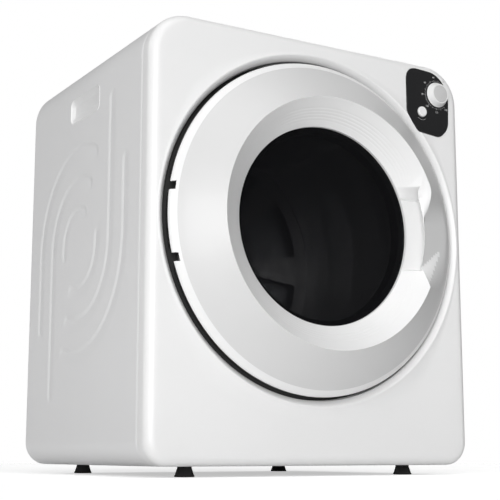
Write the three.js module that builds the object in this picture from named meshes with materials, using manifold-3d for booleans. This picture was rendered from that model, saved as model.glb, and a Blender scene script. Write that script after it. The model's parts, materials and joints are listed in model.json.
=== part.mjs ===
// A compact vented clothes dryer, front loading, with a round door hinged on the left.
// Millimetres. +X is to the right seen from the front, +Y is to the back and +Z is up.
// The origin is on the floor, under the middle of the cabinet.
import * as THREE from "three";
import { mergeVertices } from "three/addons/utils/BufferGeometryUtils.js";
import Module from "manifold-3d";

const wasm = await Module();
wasm.setup();

// ---- driving dimensions ----
const WIDTH = 600;
const DEPTH = 492;
const HEIGHT = 704;
const FOOT_HEIGHT = 16;
const TOP_CORNER = 66;
const LOW_CORNER = 38;
const FRONT_EDGE_ROUND = 16;
const FLANGE_DEPTH = 32;
const SHEET = 2;
const MOULDING = 3;
const GAP = 0.3;

const DOOR_Z = 391;
const RECESS_RADIUS = 278;
const RECESS_DEPTH = 20;
const DOOR_RADIUS = 270;
const PORT_RADIUS = 202;
const CREASE_RADIUS = 201;
const CREASE_STAND = 56;
const GLASS_RADIUS = 160;
const GLASS_STAND = 21;
const HINGE = { x: -252, stand: 4, knuckle: 2.8, pin: 1.5 };
const HINGE_OFFSETS = [38, -70];

const DRUM_RADIUS = 250;
const DRUM_FRONT = -190;
const DRUM_BACK = 160;
const DRUM_NECK = 194;
const HUB_HOLE = 96;
const BULKHEAD_Y = 178;
const BELT_Y = -20;
const BELT_WIDTH = 12;

const MOTOR = { x: 170, z: 95 };
const IDLER = { x: 96, z: 92, radius: 16 };
const EXHAUST = { x: 20, z: 104, radius: 50, length: 56 };
const KNOB = { x: 250.5, z: 651, base: 22, face: 16.5, height: 11 };
const BUTTON = { x: 217, z: 616, radius: 9 };
const RIB_HEIGHT = 1.2;
const GRIP = { y: 10, z: 614, width: 123, height: 45, depth: 26 };
const FOOT = { x: 206, front: -184, rear: 205 };
const GLAND = { x: -200, z: 130 };

const FRONT = -DEPTH / 2;
const BACK = DEPTH / 2;
const BASE = FOOT_HEIGHT;
const SEGMENTS = 48;

// ---- materials ----
const paint = (color, roughness, metalness = 0) =>
  new THREE.MeshStandardMaterial({ color, roughness, metalness });
const WHITE = 0xf2f2f2;
const BLACK = 0x141414;
const STEEL = 0xb8bcc0;

// ---- solids ----
const group = new THREE.Group();

/** The triangles of a merged geometry, without the ones that have no area. */
function trianglesOf(index) {
  const kept = [];
  for (let i = 0; i < index.length; i += 3) {
    const [a, b, c] = [index[i], index[i + 1], index[i + 2]];
    if (a !== b && b !== c && c !== a) kept.push(a, b, c);
  }
  return kept;
}

/** A closed three.js geometry as a solid, with its faces turned outwards. */
function solid(geometry) {
  const bare = geometry.index ? geometry.toNonIndexed() : geometry.clone();
  bare.deleteAttribute("normal");
  bare.deleteAttribute("uv");
  const merged = mergeVertices(bare, 1e-3);
  const triangles = trianglesOf(merged.index.array);
  const build = (list) =>
    new wasm.Manifold(
      new wasm.Mesh({
        numProp: 3,
        vertProperties: new Float32Array(merged.attributes.position.array),
        triVerts: new Uint32Array(list),
      }),
    );
  const made = build(triangles);
  return made.volume() < 0 ? build(triangles.reverse()) : made;
}

/** A named mesh made from a solid, added to a group. */
function piece(name, body, material, parent = group) {
  const mesh = body.getMesh();
  const geometry = new THREE.BufferGeometry();
  geometry.setAttribute("position", new THREE.BufferAttribute(new Float32Array(mesh.vertProperties), 3));
  geometry.setIndex(new THREE.BufferAttribute(new Uint32Array(mesh.triVerts), 1));
  geometry.computeVertexNormals();
  const made = new THREE.Mesh(geometry, material);
  made.name = name;
  parent.add(made);
  return made;
}

/** A solid of revolution about the axis through (x, z) along Y. The profile closes on itself. */
function turned(profile, { x = 0, z = 0, segments = SEGMENTS } = {}) {
  const points = [...profile, profile[0]].map(([r, y]) => new THREE.Vector2(r, y));
  return solid(new THREE.LatheGeometry(points, segments).translate(x, 0, z));
}

/** A round bar or tube along Y. */
function rod(radius, y0, y1, { inner = 0, x = 0, z = 0, segments = 20 } = {}) {
  return turned([[inner, y0], [radius, y0], [radius, y1], [inner, y1]], { x, z, segments });
}

/** A round bar along X or Z through a point. */
function crossRod(axis, radius, from, to, at, segments = 16) {
  const geometry = new THREE.CylinderGeometry(radius, radius, to - from, segments);
  if (axis === "x") geometry.rotateZ(Math.PI / 2).translate((from + to) / 2, at[0], at[1]);
  else geometry.rotateX(Math.PI / 2).translate(at[0], at[1], (from + to) / 2);
  return solid(geometry);
}

/** A box between two corners. */
function block(x0, x1, y0, y1, z0, z1) {
  const geometry = new THREE.BoxGeometry(x1 - x0, y1 - y0, z1 - z0);
  return solid(geometry.translate((x0 + x1) / 2, (y0 + y1) / 2, (z0 + z1) / 2));
}

/** An outline drawn in X and Z, pushed from y0 to y1. */
function alongY(shape, y0, y1, curveSegments = 6) {
  const geometry = new THREE.ExtrudeGeometry(shape, { depth: y1 - y0, bevelEnabled: false, curveSegments });
  return solid(geometry.rotateX(Math.PI / 2).translate(0, y1, 0));
}

/** An outline drawn in Y and Z, pushed from x0 to x1. */
function alongX(shape, x0, x1, curveSegments = 4) {
  const geometry = new THREE.ExtrudeGeometry(shape, { depth: x1 - x0, bevelEnabled: false, curveSegments });
  const turn = new THREE.Matrix4().makeBasis(
    new THREE.Vector3(0, 1, 0),
    new THREE.Vector3(0, 0, 1),
    new THREE.Vector3(1, 0, 0),
  );
  return solid(geometry.applyMatrix4(turn).translate(x0, 0, 0));
}

/** A rectangle with its low corners and its high corners rounded. */
function roundedRect(x0, x1, z0, z1, low, high = low) {
  const shape = new THREE.Shape();
  const quarter = Math.PI / 2;
  shape.absarc(x1 - low, z0 + low, low, -quarter, 0);
  shape.absarc(x1 - high, z1 - high, high, 0, quarter);
  shape.absarc(x0 + high, z1 - high, high, quarter, 2 * quarter);
  shape.absarc(x0 + low, z0 + low, low, 2 * quarter, 3 * quarter);
  shape.closePath();
  return shape;
}

/** A polygon whose corners [a, b, radius] are rounded. */
function roundedPolygon(corners, grow = 0) {
  const shape = new THREE.Shape();
  const mean = (k) => corners.reduce((sum, corner) => sum + corner[k], 0) / corners.length;
  const centre = [mean(0), mean(1)];
  const points = corners.map(([a, b, radius]) => {
    const out = new THREE.Vector2(a - centre[0], b - centre[1]);
    return { at: new THREE.Vector2(a, b).add(out.setLength(grow)), radius };
  });
  points.forEach(({ at, radius }, i) => {
    const before = points[(i + points.length - 1) % points.length].at;
    const after = points[(i + 1) % points.length].at;
    const start = at.clone().add(before.clone().sub(at).setLength(radius));
    const end = at.clone().add(after.clone().sub(at).setLength(radius));
    if (i) shape.lineTo(start.x, start.y);
    else shape.moveTo(start.x, start.y);
    shape.quadraticCurveTo(at.x, at.y, end.x, end.y);
  });
  shape.closePath();
  return shape;
}

/** The outline of a band stretched round circles, which are listed anticlockwise. */
function bandOutline(circles, grow = 0) {
  const shape = new THREE.Shape();
  const count = circles.length;
  const normal = (from, to) => {
    const [dx, dz] = [to.x - from.x, to.z - from.z];
    return Math.atan2(dz, dx) - Math.acos((from.radius - to.radius) / Math.hypot(dx, dz));
  };
  circles.forEach((circle, i) => {
    const start = normal(circles[(i + count - 1) % count], circle);
    let end = normal(circle, circles[(i + 1) % count]);
    while (end < start) end += 2 * Math.PI;
    shape.absarc(circle.x, circle.z, circle.radius + grow, start, end);
  });
  shape.closePath();
  return shape;
}

// ---- cabinet ----
const cabinetOutline = (inset) =>
  roundedRect(
    -WIDTH / 2 + inset, WIDTH / 2 - inset, BASE + inset, HEIGHT - inset,
    LOW_CORNER - inset, TOP_CORNER - inset,
  );

/** A stamped rib on a side: a quarter or half ring with straight legs. */
function ribOutline(inner, outer, from, to, centre) {
  const shape = new THREE.Shape();
  shape.absarc(centre[0], centre[1], outer, from, to, false);
  shape.absarc(centre[0], centre[1], inner, to, from, true);
  shape.closePath();
  return shape;
}

/** The raised ribs on one side, as one solid from x0 to x1. */
function sideRibs(x0, x1) {
  const centre = [26, 375];
  const quarter = Math.PI / 2;
  const upper = [[173, 146, 235], [119, 92, 122], [67, 45, 352]];
  const lower = [[95, 68, 394], [147, 119, 611], [200, 173, 497]];
  let ribs = null;
  const join = (next) => {
    ribs = ribs ? ribs.add(next) : next;
  };
  upper.forEach(([outer, inner, low]) => {
    join(alongX(ribOutline(inner, outer, 0, quarter + 0.45, centre), x0, x1));
    const [a, b] = [centre[0] + inner, centre[0] + outer];
    join(alongX(roundedRect(a, b, low, centre[1] + 1, 8, 0.5), x0, x1, 2));
  });
  lower.forEach(([outer, inner, high]) => {
    join(alongX(ribOutline(inner, outer, 2 * quarter, 3 * quarter + 0.35, centre), x0, x1));
    const [a, b] = [centre[0] - outer, centre[0] - inner];
    join(alongX(roundedRect(a, b, centre[1] - 1, high, 0.5, 8), x0, x1, 2));
  });
  return ribs;
}

const gripOutline = (inset) =>
  roundedRect(
    GRIP.y - GRIP.width / 2 + inset, GRIP.y + GRIP.width / 2 - inset,
    GRIP.z - GRIP.height / 2 + inset, GRIP.z + GRIP.height / 2 - inset, 12 - inset,
  );

function makeCabinetWrap() {
  const front = FRONT + FLANGE_DEPTH + GAP;
  const inside = alongY(cabinetOutline(SHEET), front - 1, BACK + 1);
  const tube = alongY(cabinetOutline(0), front, BACK).subtract(inside);
  const left = sideRibs(-WIDTH / 2 - RIB_HEIGHT, -WIDTH / 2 + 1);
  const right = sideRibs(WIDTH / 2 - 1, WIDTH / 2 + RIB_HEIGHT);
  const holes = alongX(gripOutline(0), -WIDTH / 2 - 5, WIDTH / 2 + 5);
  const wrap = tube.add(left).add(right).subtract(holes);
  piece("cabinet_wrap", wrap, paint(WHITE, 0.32));
}

function makeGrip(name, side) {
  const face = side * (WIDTH / 2);
  const inside = face - side * GRIP.depth;
  const [a, b] = [Math.min(face, inside), Math.max(face, inside)];
  const cup = alongX(gripOutline(GAP), a, b);
  const bore = side > 0 ? [a + MOULDING, b + 1] : [a - 1, b - MOULDING];
  const hollow = alongX(gripOutline(MOULDING), ...bore);
  piece(name, cup.subtract(hollow), paint(WHITE, 0.4));
}

const plateCorners = [
  [184, 694, 26], [247, 690, 13], [267, 674, 10], [277, 648, 12], [275, 593, 12], [256, 575, 9],
  [209, 580, 6], [184, 611, 8],
];

function makeFrontPanel() {
  const long = 90;
  const bevelled = new THREE.ExtrudeGeometry(cabinetOutline(0), {
    depth: long,
    bevelThickness: FRONT_EDGE_ROUND,
    bevelSize: FRONT_EDGE_ROUND,
    bevelOffset: -FRONT_EDGE_ROUND,
    bevelSegments: 3,
    curveSegments: 6,
  });
  const outer = solid(bevelled.rotateX(Math.PI / 2).translate(0, FRONT + FRONT_EDGE_ROUND + long, 0));
  const keep = block(-400, 400, FRONT - 1, FRONT + FLANGE_DEPTH, -10, 800);
  const hollow = alongY(cabinetOutline(FRONT_EDGE_ROUND * 0.6), FRONT + MOULDING, FRONT + FLANGE_DEPTH + 1);
  const wall = alongY(cabinetOutline(MOULDING), FRONT + FRONT_EDGE_ROUND, FRONT + FLANGE_DEPTH + 1);
  const floor = FRONT + RECESS_DEPTH;
  const boss = rod(RECESS_RADIUS + MOULDING, FRONT + 1, floor + MOULDING, { z: DOOR_Z, segments: SEGMENTS });
  const recess = rod(RECESS_RADIUS, FRONT - 1, floor, { z: DOOR_Z, segments: SEGMENTS });
  const port = rod(PORT_RADIUS, FRONT, floor + 10, { z: DOOR_Z, segments: SEGMENTS });
  const plateSeat = alongY(roundedPolygon(plateCorners, GAP), FRONT - 1, FRONT + 1.2);
  const knobHole = rod(8, FRONT - 1, FRONT + 10, { x: KNOB.x, z: KNOB.z, segments: 16 });
  const buttonAt = { x: BUTTON.x, z: BUTTON.z, segments: 16 };
  const buttonHole = rod(BUTTON.radius + 1, FRONT - 1, FRONT + 10, buttonAt);
  const strikeHole = block(236, 256, floor - 1, floor + 10, DOOR_Z - 14, DOOR_Z + 14);
  const skin = outer.intersect(keep).subtract(hollow).subtract(wall);
  const shell = skin.add(boss).subtract(recess).subtract(port);
  const holed = shell.subtract(plateSeat).subtract(knobHole).subtract(buttonHole).subtract(strikeHole);
  piece("front_panel", holed, paint(WHITE, 0.3));
}

function makeBackPanel() {
  const y = BACK - 8;
  const exhaustHole = rod(EXHAUST.radius + 1, y - 5, y + 5, { x: EXHAUST.x, z: EXHAUST.z, segments: 24 });
  const glandHole = rod(9.8, y - 5, y + 5, { x: GLAND.x, z: GLAND.z, segments: 16 });
  let panel = alongY(cabinetOutline(SHEET + GAP), y, y + SHEET).subtract(exhaustHole).subtract(glandHole);
  for (const z of [310, 350, 390, 430]) {
    panel = panel.subtract(block(-120, 20, y - 5, y + 5, z, z + 8));
  }
  piece("back_panel", panel, paint(0xd9dbdc, 0.45, 0.3));
}

function makeBasePan() {
  const inset = SHEET + GAP;
  const y0 = FRONT + FLANGE_DEPTH + 6;
  const y1 = BULKHEAD_Y - 2;
  const low = BASE + inset;
  const pan = block(-WIDTH / 2 + 44, WIDTH / 2 - 44, y0, y1, low, low + SHEET);
  const rim = block(-WIDTH / 2 + 44, WIDTH / 2 - 44, y0, y1, low, low + 14);
  const inside = block(-WIDTH / 2 + 46, WIDTH / 2 - 46, y0 + 2, y1 - 2, low + SHEET, low + 20);
  piece("base_pan", pan.add(rim.subtract(inside)), paint(0x8c9094, 0.5, 0.6));
}

function makeFeet() {
  const top = BASE - GAP;
  const profile = [[0, 0], [15, 0], [15.5, 1.5], [10.5, top], [0, top]];
  const points = profile.map(([r, z]) => new THREE.Vector2(r, z));
  for (const [end, y] of [["front", FOOT.front], ["rear", FOOT.rear]]) {
    for (const [side, x] of [["left", -FOOT.x], ["right", FOOT.x]]) {
      const cone = solid(new THREE.LatheGeometry(points, 20).rotateX(Math.PI / 2).translate(x, y, 0));
      piece("foot_" + end + "_" + side, cone, paint(BLACK, 0.6));
    }
  }
}

// ---- controls ----
function makeControls() {
  const seat = FRONT + 1.2 - GAP;
  const shaftHole = rod(5.2, FRONT - 5, FRONT + 5, { x: KNOB.x, z: KNOB.z, segments: 16 });
  const buttonAt = { x: BUTTON.x, z: BUTTON.z, segments: 20 };
  const buttonHole = rod(BUTTON.radius + 0.5, FRONT - 5, FRONT + 5, buttonAt);
  const plate = alongY(roundedPolygon(plateCorners), FRONT - 0.8, seat);
  piece("control_plate", plate.subtract(shaftHole).subtract(buttonHole), paint(0x1c1c1e, 0.12));

  const face = FRONT - 1.3;
  const tip = face - KNOB.height;
  const at = { x: KNOB.x, z: KNOB.z, segments: 20 };
  const knob = turned([
    [0, face], [KNOB.base, face], [KNOB.base, face - 1.5], [KNOB.face + 0.8, tip + 1], [KNOB.face, tip + 0.4],
    [KNOB.face - 1.5, tip + 0.4], [KNOB.face - 1.5, tip + 1.6], [0, tip + 1.6],
  ], at);
  piece("timer_knob", knob, paint(WHITE, 0.3));
  piece("timer_knob_cap", rod(KNOB.face - 1.5 - GAP, tip, tip + 1.6 - GAP, at), paint(0xc8c8c8, 0.35));
  piece("timer_shaft", rod(4.5, face + GAP, FRONT + 28, { ...at, segments: 12 }), paint(STEEL, 0.4, 0.8));

  const box = block(KNOB.x - 26, KNOB.x + 26, FRONT + 7, FRONT + 60, KNOB.z - 24, KNOB.z + 26);
  const bore = rod(4.9, FRONT, FRONT + 29, { ...at, segments: 12 });
  const shaped = box.intersect(alongY(cabinetOutline(18), FRONT, FRONT + 70));
  piece("timer_unit", shaped.subtract(bore), paint(0xe0ddd2, 0.6));

  const press = turned([
    [0, FRONT - 4], [BUTTON.radius - 1.2, FRONT - 4], [BUTTON.radius, FRONT - 2.8],
    [BUTTON.radius, FRONT + 6], [4, FRONT + 6], [4, FRONT + 19.8], [0, FRONT + 19.8],
  ], buttonAt);
  piece("start_button", press, paint(WHITE, 0.3));
  const depth = FRONT + RECESS_DEPTH + MOULDING;
  const switchBox = block(BUTTON.x - 10, BUTTON.x + 10, depth, depth + 26, BUTTON.z - 10, BUTTON.z + 10);
  piece("start_switch", switchBox, paint(0x303236, 0.5));
}

// ---- door ----
const stand = (t) => FRONT - t;

/** The door ring's front face, from the rim to the glass, as [radius, stand]. */
const ringFace = [
  [DOOR_RADIUS, -1], [DOOR_RADIUS - 0.7, 2], [262, 8.5], [246, 22.5], [207, 53],
  [CREASE_RADIUS, CREASE_STAND], [CREASE_RADIUS - 3, CREASE_STAND - 1], [GLASS_RADIUS, GLASS_STAND],
];

function makeDoorRing() {
  const face = ringFace.map(([r, t]) => [r, stand(t)]);
  const back = [
    [GLASS_RADIUS, stand(16)], [168, stand(16)], [168, stand(4)], [172, stand(4)], [172, stand(25)],
    [200, stand(50)], [244, stand(18)], [266, stand(-1)],
  ];
  const shell = turned([...face, ...back], { z: DOOR_Z, segments: SEGMENTS });
  const envelope = turned([...face, [GLASS_RADIUS + 9, stand(15)], [GLASS_RADIUS + 9, stand(-1)]], {
    z: DOOR_Z,
    segments: SEGMENTS,
  });
  const high = 62;
  const filled = block(170, 215, stand(60), stand(15), DOOR_Z - high - 3, DOOR_Z + high + 3);
  const pocketBody = filled.intersect(envelope);
  const pocket = block(158, 210, stand(41), stand(19), DOOR_Z - high, DOOR_Z + high);
  let ring = shell.add(pocketBody).subtract(pocket);
  for (const offset of HINGE_OFFSETS) {
    const z = DOOR_Z + offset;
    const boss = block(-270, HINGE.x + 10, stand(20), stand(-1), z - 15, z + 15).intersect(envelope);
    const slot = block(-280, HINGE.x + 8, stand(HINGE.stand + 3.2), stand(-6), z - 6.5, z + 6.5);
    const bore = crossRod("z", HINGE.pin + GAP, z - 12, z + 12, [HINGE.x, stand(HINGE.stand)]);
    ring = ring.add(boss).subtract(slot).subtract(bore);
  }
  return ring;
}

function makeDoor() {
  piece("door_ring", makeDoorRing(), paint(WHITE, 0.25));
  const at = { z: DOOR_Z, segments: SEGMENTS };
  const glass = rod(168 - GAP, stand(16 - GAP), stand(12), at);
  piece("door_glass", glass, paint(0x101012, 0.05));
  const clamp = rod(168 - GAP, stand(12 - GAP), stand(4), { ...at, inner: 151 });
  piece("glass_clamp", clamp, paint(BLACK, 0.4));
  piece("door_inner_frame", makeInnerFrame(), paint(BLACK, 0.5));
  const seal = turned(
    [[186, stand(-11.3)], [199, stand(-11.3)], [199, stand(-17)], [192, stand(-22.8)], [186, stand(-17)]], at,
  );
  piece("door_seal", seal, paint(0x3a3c40, 0.8));
  const bowl = turned([
    [0, stand(-33)], [120, stand(-31)], [160, stand(-11.3)], [168, stand(-11.3)],
    [168, stand(-13.3)], [162, stand(-13.3)], [121, stand(-33.2)], [0, stand(-35)],
  ], { z: DOOR_Z, segments: 32 });
  piece("door_bowl", bowl, paint(0x202226, 0.08));
}

/** The black frame behind the ring, with slots for the hinge arms and the catch. */
function makeInnerFrame() {
  const frame = turned([
    [152, stand(3.6)], [174, stand(3.6)], [174, stand(-7)], [255, stand(-7)], [262, stand(-1.6)],
    [DOOR_RADIUS - 1, stand(-1.6)], [DOOR_RADIUS - 1, stand(-4)], [262, stand(-11)], [152, stand(-11)],
  ], { z: DOOR_Z, segments: SEGMENTS });
  return HINGE_OFFSETS.reduce((made, offset) => {
    const z = DOOR_Z + offset;
    return made.subtract(block(-280, HINGE.x + 24, stand(20), stand(-20), z - 16, z + 16));
  }, frame);
}

/** The hinge: a bracket in the recess whose two arms reach into the rim, and a pin through each arm. */
function makeHinge() {
  const y = stand(HINGE.stand);
  const floor = FRONT + RECESS_DEPTH - GAP;
  const at = [HINGE.x, y];
  const reach = { x: 13, y: floor - y };
  let bracket = block(HINGE.x + 7, HINGE.x + 23, floor - 2.5, floor, DOOR_Z - 78, DOOR_Z + 46);
  HINGE_OFFSETS.forEach((offset, i) => {
    const z = DOOR_Z + offset;
    const slant = new THREE.BoxGeometry(2 * HINGE.knuckle, Math.hypot(reach.x, reach.y) - 2, 11);
    slant.rotateZ(-Math.atan2(reach.x, reach.y)).translate(HINGE.x + reach.x / 2, y + reach.y / 2 - 0.5, z);
    const bore = crossRod("z", HINGE.pin + GAP, z - 20, z + 20, at);
    const knuckle = crossRod("z", HINGE.knuckle, z - 5.5, z + 5.5, at);
    bracket = bracket.add(solid(slant)).add(knuckle).subtract(bore);
    const name = i ? "hinge_pin_lower" : "hinge_pin_upper";
    piece(name, crossRod("z", HINGE.pin, z - 11.5, z + 11.5, at, 12), paint(STEEL, 0.3, 0.9));
  });
  piece("hinge_bracket", bracket, paint(BLACK, 0.5, 0.3));
}

/** The catch on the door's free side, and the latch and door switch in the cabinet. */
function makeLatch() {
  const floor = FRONT + RECESS_DEPTH;
  const root = stand(-11) + GAP;
  const hook = block(240, 252, root, root + 2, DOOR_Z - 12, DOOR_Z + 12);
  const tongue = block(244, 248, root, floor + 12, DOOR_Z - 6, DOOR_Z + 6);
  piece("door_catch", hook.add(tongue), paint(0xe6e6e6, 0.4));
  const inside = floor + MOULDING + GAP;
  const body = block(232, 260, inside, inside + 18, DOOR_Z - 20, DOOR_Z + 20);
  const throat = block(238, 254, inside - 1, inside + 14, DOOR_Z - 9, DOOR_Z + 9);
  piece("door_latch", body.subtract(throat), paint(0x303236, 0.5));
  piece("door_switch", block(234, 258, inside, inside + 16, DOOR_Z + 24, DOOR_Z + 44), paint(0x202224, 0.5));
}

// ---- drum ----
function makeBulkheads() {
  const y = FRONT + RECESS_DEPTH + MOULDING + GAP;
  const at = { z: DOOR_Z, segments: 32 };
  const front = turned([
    [186, y], [228, y], [228, y + SHEET], [188, y + SHEET], [188, -205], [186, -205],
  ], at);
  piece("front_bulkhead", front, paint(STEEL, 0.4, 0.8));
  const neckFelt = rod(DRUM_NECK - 1.5, -219, -208, { ...at, inner: 188 + GAP });
  piece("front_drum_felt", neckFelt, paint(0x8a8478, 0.95));

  const hubHole = rod(86 + GAP, BULKHEAD_Y - 5, BULKHEAD_Y + 10, at);
  const shaftHole = rod(9, BULKHEAD_Y - 5, BULKHEAD_Y + 10, { ...MOTOR, segments: 16 });
  const heaterWindow = block(-70, 70, BULKHEAD_Y - 5, BULKHEAD_Y + 10, DOOR_Z + 134, DOOR_Z + 190);
  const plate = alongY(cabinetOutline(SHEET + GAP), BULKHEAD_Y, BULKHEAD_Y + SHEET);
  const holed = plate.subtract(hubHole).subtract(shaftHole).subtract(heaterWindow);
  piece("rear_bulkhead", holed, paint(STEEL, 0.45, 0.7));
  const felt = rod(246, DRUM_BACK + SHEET + GAP, BULKHEAD_Y - GAP, { ...at, inner: 238 });
  piece("rear_drum_felt", felt, paint(0x8a8478, 0.95));
}

/** The drum: a neck at the front, a long wall, and a vented rear wall with a collar round the hub. */
function makeDrum() {
  const at = { z: DOOR_Z, segments: 40 };
  const shell = turned([
    [DRUM_NECK, -220], [DRUM_NECK + SHEET, -220], [DRUM_NECK + SHEET, -206], [DRUM_RADIUS, DRUM_FRONT],
    [DRUM_RADIUS, DRUM_BACK + SHEET], [HUB_HOLE + SHEET, DRUM_BACK + SHEET], [HUB_HOLE + SHEET, 174],
    [HUB_HOLE, 174], [HUB_HOLE, DRUM_BACK], [DRUM_RADIUS - SHEET, DRUM_BACK],
    [DRUM_RADIUS - SHEET, DRUM_FRONT + 1], [DRUM_NECK, -204],
  ], at);
  let drum = shell;
  const vents = 16;
  for (let i = 0; i < vents; i++) {
    const angle = (2 * Math.PI * i) / vents;
    const x = 175 * Math.cos(angle);
    const z = DOOR_Z + 175 * Math.sin(angle);
    drum = drum.subtract(rod(16, DRUM_BACK - 5, DRUM_BACK + 5, { x, z, segments: 6 }));
  }
  piece("drum", drum, paint(STEEL, 0.35, 0.9));
}

/** Three lifters stand on the drum's inner wall, from its front to its back. */
function makeLifters() {
  const count = 3;
  const half = 0.15;
  const foot = DRUM_RADIUS - SHEET - 1.5;
  const crest = foot - 48;
  for (let i = 0; i < count; i++) {
    const middle = -Math.PI / 2 + 0.5 + (2 * Math.PI * i) / count;
    const shape = new THREE.Shape();
    shape.absarc(0, 0, foot - 0.4, middle - half, middle + half, false);
    shape.absarc(0, 0, crest, middle + half * 0.3, middle - half * 0.3, true);
    shape.closePath();
    const bar = alongY(shape, DRUM_FRONT + 14, DRUM_BACK - 8, 5).translate([0, 0, DOOR_Z]);
    piece("lifter_" + (i + 1), bar, paint(0xd8d8d8, 0.4));
  }
}

/** The fixed hub behind the drum, the ring that the drum turns on, and the lint filter in it. */
function makeHub() {
  const at = { z: DOOR_Z, segments: 32 };
  piece("rear_hub", rod(86, 140, 184, { ...at, inner: 82 }), paint(0x26282a, 0.5));
  piece("drum_bearing_ring", rod(HUB_HOLE - 1, 158, 176, { ...at, inner: 86 + GAP }), paint(0xe8e6de, 0.6));
  const filter = turned([
    [0, 122], [60, 124], [84, 132], [92, 137], [92, 139.5], [81, 139.5], [80, 168], [78, 168],
    [79, 139], [0, 139],
  ], at);
  piece("lint_filter", filter, paint(0x2c2e32, 0.5));
}

// ---- drive ----
function makeDrive() {
  const about = (extra) => ({ ...MOTOR, ...extra });
  piece("motor", turned([
    [6, 18], [24, 18], [30, 26], [50, 30], [52, 36], [52, 118], [50, 124], [30, 128], [24, 136], [6, 136],
  ], about({ segments: 24 })), paint(0x55585c, 0.5, 0.6));
  const shaft = rod(5, BELT_Y - 12, 236 - 3, about({ segments: 12 }));
  piece("motor_shaft", shaft, paint(STEEL, 0.3, 0.9));
  const half = BELT_WIDTH / 2;
  piece("motor_pulley", turned([
    [5 + GAP, BELT_Y - half - 3], [18, BELT_Y - half - 3], [18, BELT_Y - half - 1], [14, BELT_Y - half - 1],
    [14, BELT_Y + half + 1], [18, BELT_Y + half + 1], [18, BELT_Y + half + 3], [5 + GAP, BELT_Y + half + 3],
  ], about({ segments: 16 })), paint(0x3c3e42, 0.5, 0.5));

  const saddle = roundedRect(MOTOR.x - 40, MOTOR.x + 40, BASE + SHEET + GAP + SHEET + GAP, MOTOR.z - 10, 4);
  const cradle = alongY(saddle, 44, 108).subtract(rod(52.4, 40, 112, about({ segments: 32 })));
  piece("motor_mount", cradle, paint(0x6c7074, 0.5, 0.6));

  const loop = [
    { x: 0, z: DOOR_Z, radius: DRUM_RADIUS }, IDLER, { ...MOTOR, radius: 14 },
  ];
  const belt = alongY(bandOutline(loop, 5), BELT_Y - half, BELT_Y + half, 18);
  const beltHole = alongY(bandOutline(loop, 3.2), BELT_Y - 20, BELT_Y + 20, 18);
  piece("drive_belt", belt.subtract(beltHole), paint(0x18181a, 0.8));

  const idler = { x: IDLER.x, z: IDLER.z, segments: 20 };
  const wheel = rod(IDLER.radius, BELT_Y - 8, BELT_Y + 8, { ...idler, inner: 4 + GAP });
  piece("idler_pulley", wheel, paint(0xdcdcd4, 0.5));
  const pin = rod(4, BELT_Y - 10, BELT_Y + 14, { ...idler, segments: 12 });
  const floor = BASE + 2 * SHEET + 2 * GAP;
  const armOutline = roundedRect(IDLER.x - 9, IDLER.x + 9, floor, IDLER.z + 9, 2);
  const arm = alongY(armOutline, BELT_Y + 10, BELT_Y + 14, 3);
  const sole = block(IDLER.x - 9, IDLER.x + 9, BELT_Y + 10, BELT_Y + 40, floor, floor + 3);
  piece("idler_arm", arm.add(pin).add(sole), paint(0x6c7074, 0.5, 0.6));
}

// ---- air path ----
const fan = { ...MOTOR, radius: 66 };
const outlet = { x: EXHAUST.x, z: EXHAUST.z, radius: 54 };
const DUCT_BACK = BULKHEAD_Y + SHEET + GAP + 22;
const SHELL_BACK = BACK - 8 - GAP;

function makeAirPath() {
  const front = BULKHEAD_Y + SHEET + GAP;
  const path = [{ x: 0, z: DOOR_Z, radius: 92 }, { ...MOTOR, radius: 50 }];
  const outside = alongY(bandOutline(path), front, DUCT_BACK, 8);
  const inside = alongY(bandOutline(path, -2.5), front - 1, DUCT_BACK - 2.5, 8);
  const inlet = rod(36, DUCT_BACK - 5, DUCT_BACK + 5, { ...MOTOR, segments: 24 });
  piece("air_duct", outside.subtract(inside).subtract(inlet), paint(0x9a9ea2, 0.5, 0.4));

  const ends = [outlet, fan];
  const y0 = DUCT_BACK + GAP;
  const shell = alongY(bandOutline(ends), y0, SHELL_BACK, 8);
  const hollow = alongY(bandOutline(ends, -2.5), y0 + 2.5, SHELL_BACK - 2.5, 8);
  const eye = rod(38, y0 - 5, y0 + 5, { ...MOTOR, segments: 24 });
  const mouth = rod(48, SHELL_BACK - 5, SHELL_BACK + 5, { x: outlet.x, z: outlet.z, segments: 32 });
  piece("blower_housing", shell.subtract(hollow).subtract(eye).subtract(mouth), paint(0x34363a, 0.5));

  const wheel = { ...MOTOR, segments: 24 };
  const disc = rod(58, SHELL_BACK - 8, SHELL_BACK - 5.5, { ...wheel, inner: 5 + GAP });
  const blades = 10;
  let rotor = disc;
  for (let i = 0; i < blades; i++) {
    const turn = new THREE.Matrix4().makeRotationY((2 * Math.PI * i) / blades);
    const blade = new THREE.BoxGeometry(24, SHELL_BACK - 7 - (y0 + 5), 1.6).rotateY(0.5).translate(44, 0, 0);
    blade.applyMatrix4(turn).translate(MOTOR.x, (SHELL_BACK - 7 + y0 + 5) / 2, MOTOR.z);
    rotor = rotor.add(solid(blade));
  }
  piece("blower_wheel", rotor, paint(0x2a2c2e, 0.5));

  const collar = turned([
    [EXHAUST.radius - 3, SHELL_BACK + GAP], [EXHAUST.radius, SHELL_BACK + GAP],
    [EXHAUST.radius, BACK - 6 + GAP], [EXHAUST.radius + 10, BACK - 6 + GAP], [EXHAUST.radius + 10, BACK - 3],
    [EXHAUST.radius, BACK - 3], [EXHAUST.radius, BACK + EXHAUST.length],
    [EXHAUST.radius - 3, BACK + EXHAUST.length],
  ], { x: EXHAUST.x, z: EXHAUST.z, segments: 32 });
  piece("exhaust_collar", collar, paint(0xd8d8d8, 0.4));
}

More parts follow.
